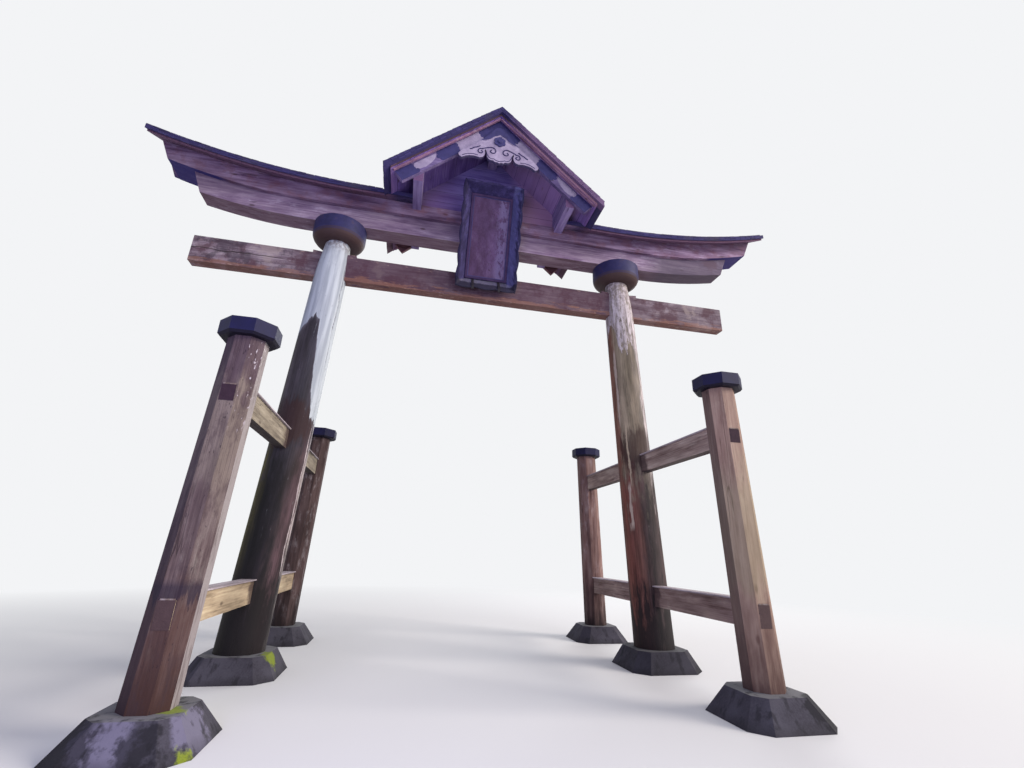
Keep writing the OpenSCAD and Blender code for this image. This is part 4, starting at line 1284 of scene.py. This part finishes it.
wing_scroll = spiral(WING_CURL, 0.014, 0.056, -270, 120)
middle_scroll = spiral(MIDDLE_CURL, 0.014, 0.074, 430, 58)
link = [wing_scroll[-2], (0.245, 7.174), (0.222, 7.184), (0.190, 7.200), middle_scroll[-2]]
lobe_line = [(0.205, 7.120), (0.188, 7.070), (0.160, 7.020), (0.120, 6.998), (0.080, 7.006), (0.050, 6.984),
             (0.0, 6.972)]
wing_vein = [(0.300, 7.212), (0.345, 7.176), (0.388, 7.158), (0.430, 7.122), (0.452, 7.116)]
wing_edge = [(0.330, 7.022), (0.400, 7.030), (0.470, 7.018), (0.520, 6.998), (0.565, 6.966)]
scrolls = [wing_scroll, middle_scroll, link, wing_vein]
fine_lines = [wing_edge, mirrored(wing_edge), lobe_line + mirrored(lobe_line)[-2::-1]]
groove_ribs = joined([rib(scrolls + [mirrored(g) for g in scrolls], GROOVE), rib(fine_lines, FINE_GROOVE)])
groove_finish = faded_paint("groove_shadow", "#2c2649", "#38315a", "#443d64")
both_ends(on_face(groove_ribs, pendant_face), "pendant_grooves", groove_finish)

BOSS_AT, BOSS_R = (0.0, 7.353), 0.090
petals = [(BOSS_AT[0] + BOSS_R * (1 + 0.07 * math.cos(6 * t)) * math.sin(t),
           BOSS_AT[1] + BOSS_R * (1 + 0.07 * math.cos(6 * t)) * math.cos(t))
          for t in (2 * math.pi * i / 48 for i in range(48))]
button = arc(BOSS_AT, 0.036, 0, 345, 23)
boss_back = flat_piece([petals], 18 * MM, 5 * MM)
boss_top = flat_piece([button], 34 * MM, 7 * MM)
boss = on_face(joined([boss_back, boss_top]), pendant_face + 1 * MM)
both_ends(boss, "pendant_boss", navy_finish)

# %% [markdown]
# The plaque leans forward so that people below can see it. Boards with cloud-shaped edges splay out round
# its panel. A narrow moulding hides the joint between them, and a worn pale bead follows the scalloped rim.
# The panel is bare red-brown wood with a strip where an old surface has flaked.

# %% Plaque
PLAQUE_TILT = math.radians(15)
PANEL_W, PANEL_H, PANEL_T = 0.620, 1.340, 0.034
FRAME_FLARE, FRAME_FOOT, FRAME_DEPTH = 0.175, 0.215, 0.150
SIDE_SCALLOPS, END_SCALLOPS, SCALLOP_DEPTH = 5, 3, 0.024
# How far the frame's mitres run across for each metre down
MITRE_SLOPE = 0.81
panel_low, panel_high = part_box("plaque_panel")
PLAQUE_AT = Vector((0, panel_high.y - PANEL_T * math.cos(PLAQUE_TILT), panel_low.z))
PLAQUE = Matrix.Translation(PLAQUE_AT) @ Matrix.Rotation(PLAQUE_TILT, 4, "X") @ UPRIGHT


def on_plaque(piece, out):
    """Lays a flat piece at a distance in front of the panel's face."""
    return placed(piece, PLAQUE @ Matrix.Translation((0, 0, out)))


def ring_outlines(inner, outer):
    """Two rectangles round the panel, grown by an inner and an outer distance."""
    outlines = []
    for grow in (outer, inner):
        half = PANEL_W / 2 + grow
        outlines.append([(-half, -grow), (half, -grow), (half, PANEL_H + grow), (-half, PANEL_H + grow)])
    return outlines


def scalloped_rim(inset):
    """The rim's outline as the CAD has it, moved in by a distance."""
    half, low, high = PANEL_W / 2 + FRAME_FLARE - inset, -FRAME_FOOT + inset, PANEL_H + FRAME_FLARE - inset
    corners = [Vector((-half, low)), Vector((half, low)), Vector((half, high)), Vector((-half, high))]
    points = []
    for number, count in enumerate((END_SCALLOPS, SIDE_SCALLOPS, END_SCALLOPS, SIDE_SCALLOPS)):
        start, end = corners[number], corners[(number + 1) % 4]
        way = (end - start).normalized()
        out = Vector((way.y, -way.x))
        for i in range(count * 8):
            arch = abs(math.sin(math.pi * i / 8))
            points.append(tuple(start + (end - start) * i / (count * 8) + out * (arch - 1) * SCALLOP_DEPTH))
    return points


def flaked_panel(colour, flake, x):
    """The panel: a strip of old blue-grey surface, and a redder left side."""
    right_side = 1.0 - add("MapRange", abs(x - 0.205), 0.03, 0.12)
    flake = add("MapRange", flake, 0.44, 0.5) * right_side
    colour = laid_over(colour, "#6f6489", flake * 0.6)
    across_red = add("MapRange", x, 0.2, -0.3)
    return laid_over(colour, "#452a44", across_red * 0.3)


def frame_wear_and_painted_light(colour, flake, x, z, pale_top):
    """The frame: painted sunlight on the right board, which has a blue stripe, a dark rim, a grey foot with
    painted shade along its lower edge, and a blue top board.
    """
    half = PANEL_W / 2
    wide = abs(x)
    colour = laid_over(colour, "#241e3c", add("MapRange", flake, 0.5, 0.62) * 0.55)
    # Painted sunlight: the right board is made brighter
    sunlit = add("MapRange", x, half, half + 0.03, 1.0, 1.7)
    colour = add("VectorMath", colour, sunlit, operation="SCALE")
    colour = laid_where(colour, "#585e84", x, half + 0.01, half + 0.03, 0.0, 0.35)
    ragged = wide + straying(flake, 0.045, 0.3)
    colour = laid_where(colour, "#120b2c", ragged, 0.405, 0.445, 0.0, 0.8)
    past_mitre = add("Math", z, MITRE_SLOPE, wide, operation="MULTIPLY_ADD")
    colour = laid_where(colour, "#77747c", past_mitre, half + 0.004, half - 0.004, 0.0, 0.35)
    # Painted shade: the frame's lower edge is darkened to near-black
    shaded_foot_edge = z + straying(flake, 0.02, 0.3)
    colour = laid_where(colour, "#0d0820", shaded_foot_edge, -0.12, -0.14, 0.0, 0.85)
    colour = laid_where(colour, "#43359a", z, PANEL_H, PANEL_H + 0.02, 0.0, 0.85)
    return laid_where(colour, "#8d86ad", z, PANEL_H + 0.12, PANEL_H + 0.13, 0.0, pale_top)


def plaque_wood(name, dark, mid, light, flaked, pale_top=0.0):
    """Old panel or frame wood, blue-grey where its surface is left. A frame can have a pale top edge."""
    material, shader = new_finish(name)
    coords = grain_coords((-PLAQUE_TILT, 0, 0), PLAQUE_AT)
    colour, height = timber_pattern(coords, dark, mid, light, bloom=0.05)
    x, z = at("X", coords), at("Z", coords)
    flake = streaks(coords, 0.06, 0.4, 6.0, 0.65)
    if flaked:
        colour = flaked_panel(colour, flake, x)
    else:
        colour = frame_wear_and_painted_light(colour, flake, x, z, pale_top)
    surface(shader, colour, height, 4 * MM, 0.5, 0.75)
    return material


dress(["plaque_panel"], plaque_wood("red_brown_panel", "#39263f", "#473353", "#544062", True))
dress(["plaque_frame"], plaque_wood("blue_grey_frame", "#211b3e", "#2f2851", "#453e6c", False))
bead_finish = plaque_wood("worn_rim_bead", "#211b3e", "#2f2851", "#453e6c", False, 0.85)
moulding_finish = faded_paint("moulding_paint", "#2e2040", "#3d2c4c", "#221733")
moulding = flat_piece(ring_outlines(-16 * MM, 22 * MM), 16 * MM, 4 * MM)
finished(on_plaque(moulding, -1 * MM), "plaque_moulding", moulding_finish)
shadow_line = flat_piece(ring_outlines(-27 * MM, -15 * MM), 5 * MM, 1 * MM)
finished(on_plaque(shadow_line, -1 * MM), "plaque_shadow_line", navy_finish)
rim_bead = rib([scalloped_rim(11 * MM)], 6 * MM, True)
finished(on_plaque(rim_bead, FRAME_DEPTH), "plaque_rim_bead", bead_finish)

# %% [markdown]
# Each rail passes right through its posts, and a thin wedge driven in above its tenon keeps it tight. A
# cover board lies on each rail between post and pillar. It sticks out a little on both sides, so rain drips
# clear of the rail and a dark line of shadow runs along the rail's top.

# %% Tenon wedges and cover boards
TENON_TOPS = {"upper": 158 * MM, "lower": 213 * MM}
WEDGE_W, WEDGE_T, WEDGE_L = 104 * MM, 12 * MM, 60 * MM
COVER_T, COVER_OUT = 15 * MM, 24 * MM
COVER_FROM, COVER_TO = 0.250, 1.905
wedge_places = []
cover_places = []
for name in RAILS:
    low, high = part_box(name)
    middle_x = (low.x + high.x) / 2
    wedge_z = low.z + TENON_TOPS[name.split("_")[1]] + WEDGE_T / 2
    cover_z = high.z + COVER_T / 2 - 0.5 * MM
    for face in (-1, 1):
        wedge_places.append(Matrix.Translation((middle_x, face * (high.y - WEDGE_L / 2 + 2 * MM), wedge_z)))
        cover_places.append(Matrix.Translation((middle_x, face * (COVER_FROM + COVER_TO) / 2, cover_z)))
wedge_finish = weathered_timber("grey_wedge", GRAIN_UP, "#4c3f3b", "#62544e", "#786a60")
wedge = block((WEDGE_W, WEDGE_L, WEDGE_T), 2 * MM)
repeated(wedge, wedge_places, "tenon_wedges", wedge_finish)
cover_finish = weathered_timber("cover_board_cedar", GRAIN_ALONG_Y, "#7d7177", "#9d9298", "#bdb4ba",
                                bloom=0.5, bloom_colour="#bdb5b6")
cover_board = block((high.x - low.x + 2 * COVER_OUT, COVER_TO - COVER_FROM, COVER_T), 3 * MM)
repeated(cover_board, cover_places, "rail_cover_boards", cover_finish)

# %% [markdown]
# The footings are hewn stone. Water has drawn dark streaks down their faces, and yellow-green moss grows
# where a pillar's foot keeps them damp. Those places are given as spots with a radius.

# %% Stone
MOSS_SPOTS = [((-2.14, -0.14, 0.26), 0.17), ((-2.36, -2.16, 0.28), 0.11), ((-2.08, -2.44, 0.06), 0.12)]
PALE_SPOTS = [((-2.62, -2.46, 0.14), 0.22), ((-2.16, -2.2, 0.14), 0.22)]
# Place, radius and strength
STAIN_SPOTS = [((2.86, -2.42, 0.16), 0.20, 0.75), ((-2.90, -2.44, 0.10), 0.28, 0.75),
               ((-2.40, -2.48, 0.14), 0.17, 0.75), ((2.45, -0.45, 0.10), 0.80, 0.4)]


def hewn_stone(name):
    """Rough grey stone with dark streaks and moss."""
    material, shader = new_finish(name)
    place = own_place()
    z = at("Z")
    grit = add("TexNoise", place, 60.0, 6.0, 0.7)
    cloud = add("TexNoise", place, 3.2, 5.0, 0.55)
    streak = add("TexNoise", add("Mapping", place, named={"Scale": (11, 11, 1.1)}), 1.0, 4.0, 0.55)
    rag = add("TexNoise", place, 11.0, 5.0, 0.6)
    colour = between(add("MapRange", grit, 0.3, 0.7), "#2f2c35", "#3f3d46")
    colour = laid_where(colour, "#4c4a54", cloud, 0.4, 0.6, 0.0, 0.5)
    for centre, radius in PALE_SPOTS:
        colour = laid_over(colour, "#77738a", ragged_spot(centre, radius, rag) * 0.6)
    top = add("MapRange", facing("Z"), 0.8, 0.95)
    colour = laid_over(colour, "#77777a", top * 0.6)
    colour = laid_where(colour, "#222127", streak, 0.55, 0.66, 0.0, 0.7)
    ground = add("MapRange", z + cloud * 0.12, 0.06, 0.14, 0.5, 0.0)
    colour = laid_over(colour, "#1f1e20", ground)
    for centre, radius, strength in STAIN_SPOTS:
        stain = ragged_spot(centre, radius, rag)
        colour = laid_over(colour, "#151419", stain * strength)
    green = between(grit, "#4c5a14", "#8d9a28")
    for centre, radius in MOSS_SPOTS:
        colour = add("Mix", ragged_spot(centre, radius, rag) * 0.85, colour, green, data_type="RGBA")
    surface(shader, colour, grit, 6 * MM, 0.5, 0.9)
    return material


dress(["footing_left", "footing_right", "post_footings"], hewn_stone("mossy_footing_stone"))
